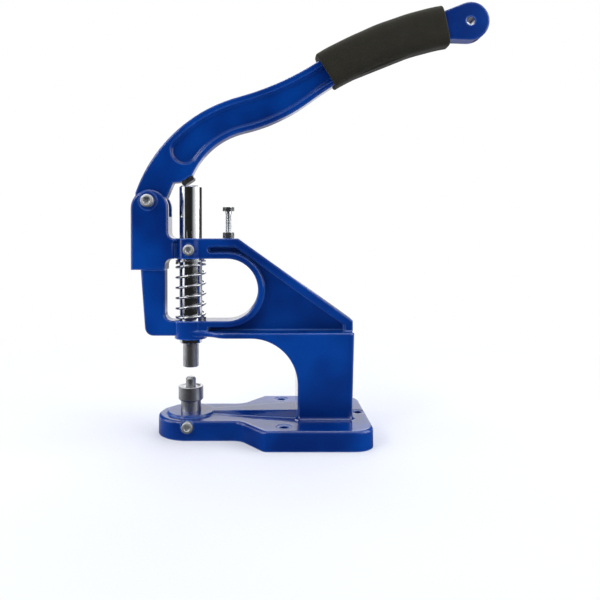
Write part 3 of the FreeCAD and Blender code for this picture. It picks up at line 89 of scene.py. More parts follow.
def colour(name, description, value):
    """A colour property written as an sRGB hex value."""
    return StringProperty(name=name, description=description, default=value)


class EyeletColours(bpy.types.PropertyGroup):
    """Colours of the machine's finishes."""
    enamel: colour("Enamel", "Gloss enamel on the castings", "#00429C")
    # Painted shade: a darker enamel laid in random noise patches, which darkens parts of the
    # castings as shade would.
    enamel_painted_shade: colour("Enamel, thick", "The same enamel where it has run thick", "#01246C")
    # Painted highlight: a pale enamel laid along every edge, convex and concave, standing in for
    # the highlights on rounded edges.
    enamel_edge_highlight: colour("Enamel, thin", "The same enamel drawn thin over an edge", "#4B7CD8")
    foam: colour("Foam", "Nitrile foam of the grip", "#1F1D11")
    foam_handled: colour("Foam, handled", "The foam where hands have polished it", "#2A2819")
    foam_pore: colour("Foam pores", "The shaded bottoms of the foam's pores", "#12110C")
    ram_steel: colour("Ram steel", "Ground and polished bar", "#D9DBDE")
    ram_rubbed: colour("Ram steel, rubbed", "The bar where it has been rubbed", "#BFC2C6")
    zinc: colour("Zinc", "Bright zinc plate on screws and nuts", "#E4E6E8")
    zinc_cloud: colour("Zinc, cloudy", "The plate where it is cloudy", "#C6CACF")
    die_steel: colour("Die steel", "Turned and hardened tool steel", "#C2C3C6")
    die_dark: colour("Die steel, dark", "Tool steel where oil has darkened it", "#8E8F93")
    spring_steel: colour("Spring wire", "Drawn and plated spring wire", "#D6D8DB")
    spring_streak: colour("Spring wire, dull", "Dull streaks left by the drawing die", "#B4B6BA")
    pad_steel: colour("Pad steel", "Hardened plate under the lever's toe", "#8A8B8F")
    pad_scale: colour("Pad steel, scaled", "The plate under its hardening scale", "#55565A")
    floor: colour("Floor", "Pale floor under the machine", "#E6E9F4")


class EyeletSizes(bpy.types.PropertyGroup):
    """Sizes of the pieces and patterns made here."""
    bar_centre_x: millimetres("Bar centre X", "Centre of the lever's bar as an arc", 264.0)
    bar_centre_z: millimetres("Bar centre Z", "Centre of the lever's bar as an arc", 31.3)
    bar_radius: millimetres("Bar radius", "Radius of the middle line of the bar", 297.65)
    bar_depth: millimetres("Bar depth", "Depth of the bar in the lever's plane", 22.7)
    bar_width: millimetres("Bar width", "Width of the bar across the lever", 13.0)
    foam_wall: millimetres("Foam wall", "Thickness of the grip's foam", 4.0)
    foam_swell: millimetres("Foam swell", "How much deeper the grip is at its tail", 1.7)
    foam_lift: millimetres("Foam lift", "How far the grip's mouth stands above the bar's middle",
                           1.75)
    foam_lip: millimetres("Foam lip", "Rounding of the grip's cut ends", 1.3)
    foam_dent: millimetres("Foam dent", "Depth of the dents that hands have left", 0.28)
    grip_start: FloatProperty(name="Grip start", subtype="ANGLE", default=math.radians(31.55),
                              description="Direction of the bar where the foam starts")
    grip_end: FloatProperty(name="Grip end", subtype="ANGLE", default=math.radians(11.98),
                            description="Direction of the bar where the foam ends")
    wire: millimetres("Spring wire", "Diameter of the return spring's wire", 2.0)
    spring_turns: FloatProperty(name="Spring turns", description="Turns of the return spring",
                                default=6.5)
    closed_turns: FloatProperty(name="Closed turns", description="Flat turns at each end",
                                default=0.75)
    pivot_pitch: millimetres("Pivot thread pitch", "Pitch of the pivot screw's 6 mm thread", 1.0)
    stop_pitch: millimetres("Stop thread pitch", "Pitch of the stop bolt's 5 mm thread", 0.8)
    knurl_ribs: IntProperty(name="Knurl ribs", description="Ribs round a screw head", default=36)
    knurl_depth: millimetres("Knurl depth", "Depth of the ribs round a screw head", 0.16)
    # Also sets the width of the painted highlight laid along the edges.
    edge_round: millimetres("Edge softness", "Width over which enamel rounds a cast edge", 2.0)
    orange_peel: millimetres("Orange peel", "Size of the ripples in sprayed enamel", 1.6)
    # Size and seed of the random patches of darker enamel that are painted shade.
    shade_patch_size: millimetres("Paint runs", "Size of the patches where enamel is thicker", 55.0)
    shade_patch_seed: FloatProperty(name="Run seed", description="Which pattern the paint runs take",
                            default=9.1)
    sand_swell: millimetres("Sand unevenness", "Size of the swells that a sand mould leaves", 9.0)


# ---------------------------------------------------------------- colours and nodes

def linear(hex_value):
    """Linear colour of an sRGB hex value: each channel by the sRGB curve, alpha 1."""
    channels = [int(hex_value[i:i + 2], 16) / 255 for i in (1, 3, 5)]
    curve = [c / 12.92 if c <= 0.04045 else ((c + 0.055) / 1.055) ** 2.4 for c in channels]
    return (*curve, 1.0)


def add(tree, kind, settings=None, inputs=None):
    """Add a node, set its properties, and set or link its input sockets."""
    node = tree.nodes.new(kind)
    for key, value in (settings or {}).items():
        setattr(node, key, value)
    for key, value in (inputs or {}).items():
        if isinstance(value, bpy.types.NodeSocket):
            tree.links.new(value, node.inputs[key])
        else:
            node.inputs[key].default_value = value
    return node


def new_material(name):
    """An empty node material and its tree."""
    material = bpy.data.materials.new(name)
    material.use_nodes = True
    material.node_tree.nodes.clear()
    return material, material.node_tree


def close_material(tree, shader):
    """Join the shader to the material's output."""
    add(tree, "ShaderNodeOutputMaterial", inputs={"Surface": shader.outputs[0]})


def per_metre(size):
    """Texture scale whose pattern is about that size, on coordinates in metres."""
    return 1 / size


def band_scale(period):
    """Scale of a wave texture whose bands are that far apart: it draws sin(20 x scale)."""
    return 2 * math.pi / (20 * period)


# ---------------------------------------------------------------- materials

def gloss_enamel(name, colours, sizes):
    """Gloss enamel sprayed on sand-cast iron, with orange peel and the mould's slow swells under a
    clear, hard gloss.
    Its colour holds painted shade in darker random patches, and a painted highlight in a pale band
    along every edge."""
    material, tree = new_material(name)
    place = add(tree, "ShaderNodeTexCoord").outputs["Object"]
    swell = add(tree, "ShaderNodeTexNoise", inputs={
        "Vector": place, "Scale": per_metre(sizes.sand_swell), "Detail": 3.0, "Roughness": 0.55})
    # Noise that lays out the random patches of painted shade.
    runs = add(tree, "ShaderNodeTexNoise", {"noise_dimensions": "4D"}, {
        "Vector": place, "W": sizes.shade_patch_seed, "Scale": per_metre(sizes.shade_patch_size), "Detail": 2.0})
    peel = add(tree, "ShaderNodeTexNoise", inputs={
        "Vector": place, "Scale": per_metre(sizes.orange_peel), "Detail": 1.5, "Roughness": 0.5})
    grit = add(tree, "ShaderNodeTexNoise", inputs={
        "Vector": place, "Scale": per_metre(sizes.orange_peel / 4), "Detail": 1.0,
        "Roughness": 0.5})
    flat = add(tree, "ShaderNodeNewGeometry").outputs["Normal"]
    soft = add(tree, "ShaderNodeBevel", {"samples": 6}, {"Radius": sizes.edge_round})
    turn = add(tree, "ShaderNodeVectorMath", {"operation": "DOT_PRODUCT"}, {
        0: soft.outputs["Normal"], 1: flat})
    # Edge mask from how far the bevelled normal turns from the true one: it lays the painted
    # highlight along every edge.
    edge = add(tree, "ShaderNodeMapRange", inputs={
        "Value": turn.outputs["Value"], "From Min": 0.99, "From Max": 0.86,
        "To Min": 0.0, "To Max": 0.9})
    # Mask of the painted shade: where it rises, the darker enamel stands in for shade.
    thick = add(tree, "ShaderNodeMapRange", inputs={
        "Value": runs.outputs["Fac"], "From Min": 0.40, "From Max": 0.62,
        "To Min": 0.0, "To Max": 0.85})
    body = add(tree, "ShaderNodeMix", {"data_type": "RGBA"}, {
        0: thick.outputs[0], 6: linear(colours.enamel), 7: linear(colours.enamel_painted_shade)})
    # Lays the painted highlight, a pale enamel, over the edges.
    with_edge_highlight = add(tree, "ShaderNodeMix", {"data_type": "RGBA"}, {
        0: edge.outputs[0], 6: body.outputs[2], 7: linear(colours.enamel_edge_highlight)})
    wiped = add(tree, "ShaderNodeMapRange", inputs={
        "Value": grit.outputs["Fac"], "From Min": 0.3, "From Max": 0.7,
        "To Min": 0.24, "To Max": 0.36})
    waves = add(tree, "ShaderNodeBump", inputs={
        "Strength": 0.5, "Distance": 0.30 * MM, "Height": swell.outputs["Fac"],
        "Normal": soft.outputs["Normal"]})
    skin = add(tree, "ShaderNodeBump", inputs={
        "Strength": 0.25, "Distance": 0.03 * MM, "Height": peel.outputs["Fac"],
        "Normal": waves.outputs["Normal"]})
    shader = add(tree, "ShaderNodeBsdfPrincipled", inputs={
        "Base Color": with_edge_highlight.outputs[2], "Roughness": wiped.outputs[0], "IOR": 1.5,
        "Specular IOR Level": 0.05, "Coat Weight": 1.0, "Coat Roughness": 0.05, "Coat IOR": 1.5,
        "Normal": skin.outputs["Normal"], "Coat Normal": skin.outputs["Normal"]})
    close_material(tree, shader)
    return material


def nitrile_foam(colours):
    """Closed-cell nitrile foam, cut from an extruded tube: matt, softly sheened, with fine
    pores.  The real pores are about 0.3 mm and are drawn at 0.9 mm so that they show."""
    material, tree = new_material("nitrile_foam")
    place = add(tree, "ShaderNodeTexCoord").outputs["Object"]
    pores = add(tree, "ShaderNodeTexVoronoi", {"feature": "F1"}, {
        "Vector": place, "Scale": per_metre(0.9 * MM), "Randomness": 1.0})
    cloud = add(tree, "ShaderNodeTexNoise", inputs={
        "Vector": place, "Scale": per_metre(14 * MM), "Detail": 4.0, "Roughness": 0.6})
    skin = add(tree, "ShaderNodeTexNoise", inputs={
        "Vector": place, "Scale": per_metre(0.6 * MM), "Detail": 3.0, "Roughness": 0.7})
    open_pore = add(tree, "ShaderNodeMapRange", inputs={
        "Value": pores.outputs["Distance"], "From Min": 0.05, "From Max": 0.45,
        "To Min": 1.0, "To Max": 0.0})
    handled = add(tree, "ShaderNodeMapRange", inputs={
        "Value": cloud.outputs["Fac"], "From Min": 0.35, "From Max": 0.7,
        "To Min": 0.0, "To Max": 0.5})
    tone = add(tree, "ShaderNodeMix", {"data_type": "RGBA"}, {
        0: handled.outputs[0], 6: linear(colours.foam), 7: linear(colours.foam_handled)})
    base = add(tree, "ShaderNodeMix", {"data_type": "RGBA"}, {
        0: open_pore.outputs[0], 6: tone.outputs[2], 7: linear(colours.foam_pore)})
    rough = add(tree, "ShaderNodeMapRange", inputs={
        "Value": skin.outputs["Fac"], "From Min": 0.2, "From Max": 0.8,
        "To Min": 0.72, "To Max": 0.95})
    pits = add(tree, "ShaderNodeBump", {"invert": True}, {
        "Strength": 0.5, "Distance": 0.12 * MM, "Height": open_pore.outputs[0]})
    nap = add(tree, "ShaderNodeBump", inputs={
        "Strength": 0.5, "Distance": 0.10 * MM, "Height": skin.outputs["Fac"],
        "Normal": pits.outputs["Normal"]})
    shader = add(tree, "ShaderNodeBsdfPrincipled", inputs={
        "Base Color": base.outputs[2], "Roughness": rough.outputs[0], "IOR": 1.45,
        "Sheen Weight": 0.05, "Sheen Roughness": 0.5, "Normal": nap.outputs["Normal"]})
    close_material(tree, shader)
    return material


def ground_steel(colours):
    """Centreless-ground and polished bar: near mirror, with faint rings round the bar from
    the wheel.  The real rings are about 0.05 mm apart and are drawn at 0.5 mm."""
    material, tree = new_material("ground_ram_steel")
    place = add(tree, "ShaderNodeTexCoord").outputs["Object"]
    rings = add(tree, "ShaderNodeTexWave", {"wave_type": "BANDS", "bands_direction": "Z"}, {
        "Vector": place, "Scale": band_scale(0.5 * MM), "Distortion": 1.2, "Detail": 2.0,
        "Detail Scale": 2.0})
    rub = add(tree, "ShaderNodeTexNoise", inputs={
        "Vector": place, "Scale": per_metre(4 * MM), "Detail": 5.0, "Roughness": 0.65})
    rough = add(tree, "ShaderNodeMapRange", inputs={
        "Value": rub.outputs["Fac"], "From Min": 0.3, "From Max": 0.75,
        "To Min": 0.07, "To Max": 0.20})
    tone = add(tree, "ShaderNodeMix", {"data_type": "RGBA"}, {
        0: rub.outputs["Fac"], 6: linear(colours.ram_steel), 7: linear(colours.ram_rubbed)})
    soft = add(tree, "ShaderNodeBevel", {"samples": 4}, {"Radius": 0.25 * MM})
    bump = add(tree, "ShaderNodeBump", inputs={
        "Strength": 0.10, "Distance": 0.01 * MM, "Height": rings.outputs["Fac"],
        "Normal": soft.outputs["Normal"]})
    shader = add(tree, "ShaderNodeBsdfPrincipled", inputs={
        "Base Color": tone.outputs[2], "Metallic": 1.0, "Roughness": rough.outputs[0],
        "Normal": bump.outputs["Normal"]})
    close_material(tree, shader)
    return material


def zinc_plate(colours, name, gloss, dull):
    """Zinc electroplate on cold-headed steel: pale, bluish, a little cloudy."""
    material, tree = new_material(name)
    place = add(tree, "ShaderNodeTexCoord").outputs["Object"]
    cloud = add(tree, "ShaderNodeTexNoise", inputs={
        "Vector": place, "Scale": per_metre(1.6 * MM), "Detail": 4.0, "Roughness": 0.6})
    tone = add(tree, "ShaderNodeMix", {"data_type": "RGBA"}, {
        0: cloud.outputs["Fac"], 6: linear(colours.zinc), 7: linear(colours.zinc_cloud)})
    rough = add(tree, "ShaderNodeMapRange", inputs={
        "Value": cloud.outputs["Fac"], "From Min": 0.3, "From Max": 0.7,
        "To Min": gloss, "To Max": dull})
    soft = add(tree, "ShaderNodeBevel", {"samples": 4}, {"Radius": 0.22 * MM})
    bump = add(tree, "ShaderNodeBump", inputs={
        "Strength": 0.25, "Distance": 0.02 * MM, "Height": cloud.outputs["Fac"],
        "Normal": soft.outputs["Normal"]})
    shader = add(tree, "ShaderNodeBsdfPrincipled", inputs={
        "Base Color": tone.outputs[2], "Metallic": 1.0, "Roughness": rough.outputs[0],
        "Normal": bump.outputs["Normal"]})
    close_material(tree, shader)
    return material


def turned_tool_steel(colours):
    """Hardened tool steel, turned in a lathe and oiled: satin grey, ringed by the tool.
    The real feed marks are about 0.1 mm apart and are drawn at 0.45 mm."""
    material, tree = new_material("turned_tool_steel")
    place = add(tree, "ShaderNodeTexCoord").outputs["Object"]
    feed = add(tree, "ShaderNodeTexWave", {"wave_type": "BANDS", "bands_direction": "Z"}, {
        "Vector": place, "Scale": band_scale(0.45 * MM), "Distortion": 0.6, "Detail": 1.0})
    face = add(tree, "ShaderNodeTexWave", {"wave_type": "RINGS", "rings_direction": "Z"}, {
        "Vector": place, "Scale": band_scale(0.45 * MM), "Distortion": 0.4, "Detail": 1.0})
    oil = add(tree, "ShaderNodeTexNoise", inputs={
        "Vector": place, "Scale": per_metre(5 * MM), "Detail": 5.0, "Roughness": 0.6})
    marks = add(tree, "ShaderNodeMath", {"operation": "ADD"}, {
        0: feed.outputs["Fac"], 1: face.outputs["Fac"]})
    stain = add(tree, "ShaderNodeMapRange", inputs={
        "Value": oil.outputs["Fac"], "From Min": 0.35, "From Max": 0.65,
        "To Min": 0.15, "To Max": 0.55})
    tone = add(tree, "ShaderNodeMix", {"data_type": "RGBA"}, {
        0: stain.outputs[0], 6: linear(colours.die_steel), 7: linear(colours.die_dark)})
    rough = add(tree, "ShaderNodeMapRange", inputs={
        "Value": oil.outputs["Fac"], "From Min": 0.3, "From Max": 0.7,
        "To Min": 0.36, "To Max": 0.46})
    soft = add(tree, "ShaderNodeBevel", {"samples": 4}, {"Radius": 0.25 * MM})
    bump = add(tree, "ShaderNodeBump", inputs={
        "Strength": 0.2, "Distance": 0.02 * MM, "Height": marks.outputs[0],
        "Normal": soft.outputs["Normal"]})
    shader = add(tree, "ShaderNodeBsdfPrincipled", inputs={
        "Base Color": tone.outputs[2], "Metallic": 1.0, "Roughness": rough.outputs[0],
        "Normal": bump.outputs["Normal"]})
    close_material(tree, shader)
    return material


def drawn_wire(colours):
    """Hard-drawn and plated spring wire: bright, with dull streaks left by the die."""
    material, tree = new_material("drawn_spring_wire")
    place = add(tree, "ShaderNodeTexCoord").outputs["Object"]
    streak = add(tree, "ShaderNodeTexNoise", inputs={
        "Vector": place, "Scale": per_metre(0.8 * MM), "Detail": 3.0, "Roughness": 0.6})
    tone = add(tree, "ShaderNodeMix", {"data_type": "RGBA"}, {
        0: streak.outputs["Fac"], 6: linear(colours.spring_steel),
        7: linear(colours.spring_streak)})
    rough = add(tree, "ShaderNodeMapRange", inputs={
        "Value": streak.outputs["Fac"], "From Min": 0.3, "From Max": 0.7,
        "To Min": 0.20, "To Max": 0.34})
    shader = add(tree, "ShaderNodeBsdfPrincipled", inputs={
        "Base Color": tone.outputs[2], "Metallic": 1.0, "Roughness": rough.outputs[0]})
    close_material(tree, shader)
    return material


def hardened_plate(colours):
    """Blanked and hardened spring plate: dull grey, rubbed bright where it rides."""
    material, tree = new_material("hardened_plate")
    place = add(tree, "ShaderNodeTexCoord").outputs["Object"]
    scale_skin = add(tree, "ShaderNodeTexNoise", inputs={
        "Vector": place, "Scale": per_metre(2.5 * MM), "Detail": 5.0, "Roughness": 0.65})
    tone = add(tree, "ShaderNodeMix", {"data_type": "RGBA"}, {
        0: scale_skin.outputs["Fac"], 6: linear(colours.pad_steel), 7: linear(colours.pad_scale)})
    rough = add(tree, "ShaderNodeMapRange", inputs={
        "Value": scale_skin.outputs["Fac"], "From Min": 0.3, "From Max": 0.7,
        "To Min": 0.26, "To Max": 0.45})
    soft = add(tree, "ShaderNodeBevel", {"samples": 4}, {"Radius": 0.25 * MM})
    shader = add(tree, "ShaderNodeBsdfPrincipled", inputs={
        "Base Color": tone.outputs[2], "Metallic": 1.0, "Roughness": rough.outputs[0],
        "Normal": soft.outputs["Normal"]})
    close_material(tree, shader)
    return material


# ---------------------------------------------------------------- meshes

def shell(name, points, rows_close=False, cap_ends=False):
    """A mesh through a grid of points, rows x columns x 3: each face joins four neighbours,
    columns close into loops, and the end loops may be capped with one flat face each."""
    rows, columns = points.shape[:2]
    index = np.arange(rows * columns).reshape(rows, columns)
    here = index if rows_close else index[:-1]
    there = np.roll(index, -1, axis=0) if rows_close else index[1:]
    corners = [here, np.roll(here, -1, axis=1), np.roll(there, -1, axis=1), there]
    faces = np.stack(corners, axis=-1).reshape(-1, 4).tolist()
    if cap_ends:
        faces += [index[0][::-1].tolist(), index[-1].tolist()]
    mesh = bpy.data.meshes.new(name)
    mesh.from_pydata(points.reshape(-1, 3).tolist(), [], faces)
    work = bmesh.new()
    work.from_mesh(mesh)
    bmesh.ops.recalc_face_normals(work, faces=work.faces)
    work.to_mesh(mesh)
    work.free()
    mesh.shade_smooth()
    mesh.set_sharp_from_angle(angle=SHARP_ANGLE)
    piece = bpy.data.objects.new(name, mesh)
    bpy.context.scene.collection.objects.link(piece)
    return piece


def turned(levels, columns):
    """Grid of rings about Z.  A level is (height, radius), where radius is a number or a
    function of the angle round the axis."""
    angle = np.linspace(0, 2 * math.pi, columns, endpoint=False)
    rings = []
    for height, radius in levels:
        reach = radius(angle) if callable(radius) else np.full(columns, radius)
        rings.append(np.stack([reach * np.cos(angle), reach * np.sin(angle),
                               np.full(columns, height)], axis=-1))
    return np.array(rings)


def facing_near_side(points, x, y, z):
    """Turn a grid made along Z so that +Z faces -Y, and move it."""
    return np.stack([points[..., 0] + x, y - points[..., 2], points[..., 1] + z], axis=-1)


def hexagon(flats):
    """Radius of a hexagon against angle: half the flats over the cosine of the angle from
    the nearest flat's middle."""
    def reach(angle):
        off = np.mod(angle, math.pi / 3) - math.pi / 6
        return flats / 2 / np.cos(off)
    return reach


def at_most(limit, reach):
    """A radius function cut off at a limit, as a cone or cylinder cuts a hexagon."""
    return lambda angle: np.minimum(limit, reach(angle))


def thread_levels(low, high, radius, pitch):
    """Levels of a screw thread: the radius falls by a flattened triangle wave of height less
    angle, so its crests climb one pitch in each turn, and the end is eased.  A metric thread
    is 0.61 of its pitch deep."""
    levels = []
    depth = 0.61 * pitch
    for height in np.arange(low, high, pitch / 10):
        def reach(angle, height=height):
            phase = np.mod(height / pitch - angle / (2 * math.pi), 1.0)
            groove = np.clip((np.abs(2 * phase - 1) - 0.12) / 0.76, 0, 1)
            ease = min(1.0, (height - low) / (0.8 * pitch) + 0.25)
            return np.minimum(radius - depth * groove, radius - depth * (1 - ease))
        levels.append((height, reach))
    return levels


def dress(node, material):
    """Give a CAD node its material in place of the plain one."""
    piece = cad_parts[node]
    piece.data.materials.clear()
    piece.data.materials.append(material)


def settle(piece, material, body, *nodes):
    """Give a new piece its material and body, and let it stand for its CAD nodes."""
    piece.data.materials.append(material)
    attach(piece, body)
    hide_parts(*nodes)


def bright_zinc(colours):
    """The plate that bolts, nuts and rings share, made once."""
    name = "bright_zinc_plate"
    return bpy.data.materials.get(name) or zinc_plate(colours, name, 0.18, 0.34)


def satin_zinc(colours):
    """The duller plate of the cap screws."""
    return zinc_plate(colours, "satin_zinc_plate", 0.52, 0.68)


# ---------------------------------------------------------------- operators

class EYELET_OT_stage(bpy.types.Operator):
    """Pale floor, soft lamps, white surroundings and the camera"""
    bl_idname = "eyelet.stage"
    bl_label = "Stage and camera"

    def execute(self, context):
        scene = context.scene
        scene.view_settings.view_transform = "Standard"
        make_world(scene)
        make_floor(scene.eyelet_colours)
        for lamp in LAMPS:
            make_lamp(*lamp)
        make_camera(scene)
        return {"FINISHED"}


def make_world(scene):
    """White for the camera and a plain even level for light.  Mirror and clear rays see white
    too, apart from a dark patch on the near side and a dark flag at each far side."""
    world = bpy.data.worlds.new("studio")
    scene.world = world
    world.use_nodes = True
    tree = world.node_tree
    tree.nodes.clear()
    direction = add(tree, "ShaderNodeTexCoord").outputs["Generated"]
    parts = add(tree, "ShaderNodeSeparateXYZ", inputs={0: direction})
    away = add(tree, "ShaderNodeVectorMath", {"operation": "DOT_PRODUCT"}, {
        0: direction, 1: (math.sin(PATCH_TURN), math.cos(PATCH_TURN), 0)})
    patch = add(tree, "ShaderNodeMapRange", {"interpolation_type": "SMOOTHSTEP"}, {
        "Value": away.outputs["Value"], "From Min": -0.86, "From Max": -0.45,
        "To Min": 0.02, "To Max": 1.0})
    aside = add(tree, "ShaderNodeMath", {"operation": "ABSOLUTE"}, {0: parts.outputs["X"]})
    inner = add(tree, "ShaderNodeMapRange", {"interpolation_type": "SMOOTHSTEP"}, {
        "Value": aside.outputs[0], "From Min": 0.26, "From Max": 0.40,
        "To Min": 0.0, "To Max": 1.0})
    outer = add(tree, "ShaderNodeMapRange", {"interpolation_type": "SMOOTHSTEP"}, {
        "Value": parts.outputs["Y"], "From Min": 0.12, "From Max": 0.34,
        "To Min": 0.0, "To Max": 0.95})
    flag = add(tree, "ShaderNodeMath", {"operation": "MULTIPLY"}, {
        0: inner.outputs[0], 1: outer.outputs[0]})
    level = add(tree, "ShaderNodeMath", {"operation": "SUBTRACT"}, {
        0: patch.outputs[0], 1: flag.outputs[0]})
    path = add(tree, "ShaderNodeLightPath")
    mirrored = add(tree, "ShaderNodeMath", {"operation": "MAXIMUM"}, {
        0: path.outputs["Is Glossy Ray"], 1: path.outputs["Is Transmission Ray"]})
    reflected = add(tree, "ShaderNodeBackground", inputs={
        "Color": (1, 1, 1, 1), "Strength": level.outputs[0]})
    even = add(tree, "ShaderNodeBackground", inputs={
        "Color": (0.96, 0.98, 1, 1), "Strength": 0.30})
    backdrop = add(tree, "ShaderNodeBackground", inputs={
        "Color": (1, 1, 1, 1), "Strength": 1.0})
    first = add(tree, "ShaderNodeMixShader", inputs={
        0: mirrored.outputs[0], 1: even.outputs[0], 2: reflected.outputs[0]})
    second = add(tree, "ShaderNodeMixShader", inputs={
        0: path.outputs["Is Camera Ray"], 1: first.outputs[0], 2: backdrop.outputs[0]})
    add(tree, "ShaderNodeOutputWorld", inputs={"Surface": second.outputs[0]})


def make_floor(colours):
    """A wide flat floor that keeps the machine's soft shadow and fades to white away from it.
    Mirror and clear rays see it white behind the machine and dark in front of it."""
    half = 3.0
    mesh = bpy.data.meshes.new("floor")
    corners = [(-half, -half, 0), (half, -half, 0), (half, half, 0), (-half, half, 0)]
    mesh.from_pydata(corners, [], [(0, 1, 2, 3)])
    floor = bpy.data.objects.new("floor", mesh)
    bpy.context.scene.collection.objects.link(floor)
    material, tree = new_material("pale_floor")
    place = add(tree, "ShaderNodeTexCoord").outputs["Object"]
    away = add(tree, "ShaderNodeVectorMath", {"operation": "DISTANCE"}, {
        0: place, 1: (0.05, 0, 0)})
    fade = add(tree, "ShaderNodeMapRange", {"interpolation_type": "SMOOTHSTEP"}, {
        "Value": away.outputs["Value"], "From Min": 0.12, "From Max": 0.55,
        "To Min": 0.15, "To Max": 1.0})
    parts = add(tree, "ShaderNodeSeparateXYZ", inputs={0: place})
    front = add(tree, "ShaderNodeMapRange", {"interpolation_type": "SMOOTHSTEP"}, {
        "Value": parts.outputs["Y"], "From Min": -0.05, "From Max": 0.12,
        "To Min": 0.02, "To Max": 1.0})
    behind = add(tree, "ShaderNodeMapRange", {"interpolation_type": "SMOOTHSTEP"}, {
        "Value": parts.outputs["Y"], "From Min": 0.5, "From Max": 1.0,
        "To Min": 1.0, "To Max": 0.3})
    shown = add(tree, "ShaderNodeMath", {"operation": "MULTIPLY"}, {
        0: front.outputs[0], 1: behind.outputs[0]})
    path = add(tree, "ShaderNodeLightPath")
    seen = add(tree, "ShaderNodeMath", {"operation": "MULTIPLY"}, {
        0: path.outputs["Is Camera Ray"], 1: fade.outputs[0]})
    white = add(tree, "ShaderNodeMath", {"operation": "MAXIMUM"}, {
        0: path.outputs["Is Camera Ray"], 1: shown.outputs[0]})
    mirrored = add(tree, "ShaderNodeMath", {"operation": "MAXIMUM"}, {
        0: path.outputs["Is Glossy Ray"], 1: path.outputs["Is Transmission Ray"]})
    lift = add(tree, "ShaderNodeMath", {"operation": "MAXIMUM"}, {
        0: seen.outputs[0], 1: mirrored.outputs[0]})
    matt = add(tree, "ShaderNodeBsdfDiffuse", inputs={"Color": linear(colours.floor)})
    glow = add(tree, "ShaderNodeEmission", inputs={
        "Color": (1, 1, 1, 1), "Strength": white.outputs[0]})
    shader = add(tree, "ShaderNodeMixShader", inputs={
        0: lift.outputs[0], 1: matt.outputs[0], 2: glow.outputs[0]})
    close_material(tree, shader)
    mesh.materials.append(material)


def make_lamp(name, place, width, height, power):
    """A soft lamp, aimed at the middle of the machine."""
    aim = (0.05, 0.0, 0.15)
    data = bpy.data.lights.new(name, "AREA")
    data.shape = "RECTANGLE"
    data.size = width
    data.size_y = height
    data.energy = power
    lamp = bpy.data.objects.new(name, data)
    bpy.context.scene.collection.objects.link(lamp)
    direction = np.array(aim) - np.array(place)
    flat = math.hypot(direction[0], direction[1])
    lamp.location = place
    lamp.rotation_euler = (math.atan2(flat, -direction[2]), 0,
                           math.atan2(direction[1], direction[0]) - math.pi / 2)


def make_camera(scene):
    """A camera on the near side, a little above the frame's middle and almost level."""
    focal_pixels, frame_pixels = 611.67, 600
    right_pixels, up_pixels = 33.8, -60
    data = bpy.data.cameras.new("camera")
    data.sensor_width = 36
    data.lens = data.sensor_width * focal_pixels / frame_pixels
    data.shift_x = right_pixels / frame_pixels
    data.shift_y = up_pixels / frame_pixels
    camera = bpy.data.objects.new("camera", data)
    scene.collection.objects.link(camera)
    camera.location = (0.0588, -0.4898, 0.1589)
    pitch_down, turn_right = 0.0123, 0.0032
    camera.rotation_euler = (math.pi / 2 - pitch_down, 0, -turn_right)
    scene.camera = camera


class EYELET_OT_castings(bpy.types.Operator):
    """Gloss enamel on the frame and the lever"""
    bl_idname = "eyelet.castings"
    bl_label = "Castings"

    def execute(self, context):
        colours, sizes = context.scene.eyelet_colours, context.scene.eyelet_sizes
        enamel = gloss_enamel("gloss_enamel_on_cast_iron", colours, sizes)
        dress("frame_casting", enamel)
        dress("lever_casting", enamel)
        return {"FINISHED"}


class EYELET_OT_grip(bpy.types.Operator):
    """Foam sleeve on the lever's bar"""
    bl_idname = "eyelet.grip"
    bl_label = "Foam grip"

    def execute(self, context):
        colours, sizes = context.scene.eyelet_colours, context.scene.eyelet_sizes
        piece = shell("foam_grip", sleeve_points(sizes), rows_close=True)
        settle(piece, nitrile_foam(colours), "lever", "handle_grip")
        return {"FINISHED"}


def rounded_section(half_depth, half_width, power, angle):
    """A superellipse: each axis goes as its cosine or sine to the power 2/power."""
    def bulge(value):
        return np.sign(value) * np.abs(value) ** (2 / power)
    return half_depth * bulge(np.cos(angle)), half_width * bulge(np.sin(angle))


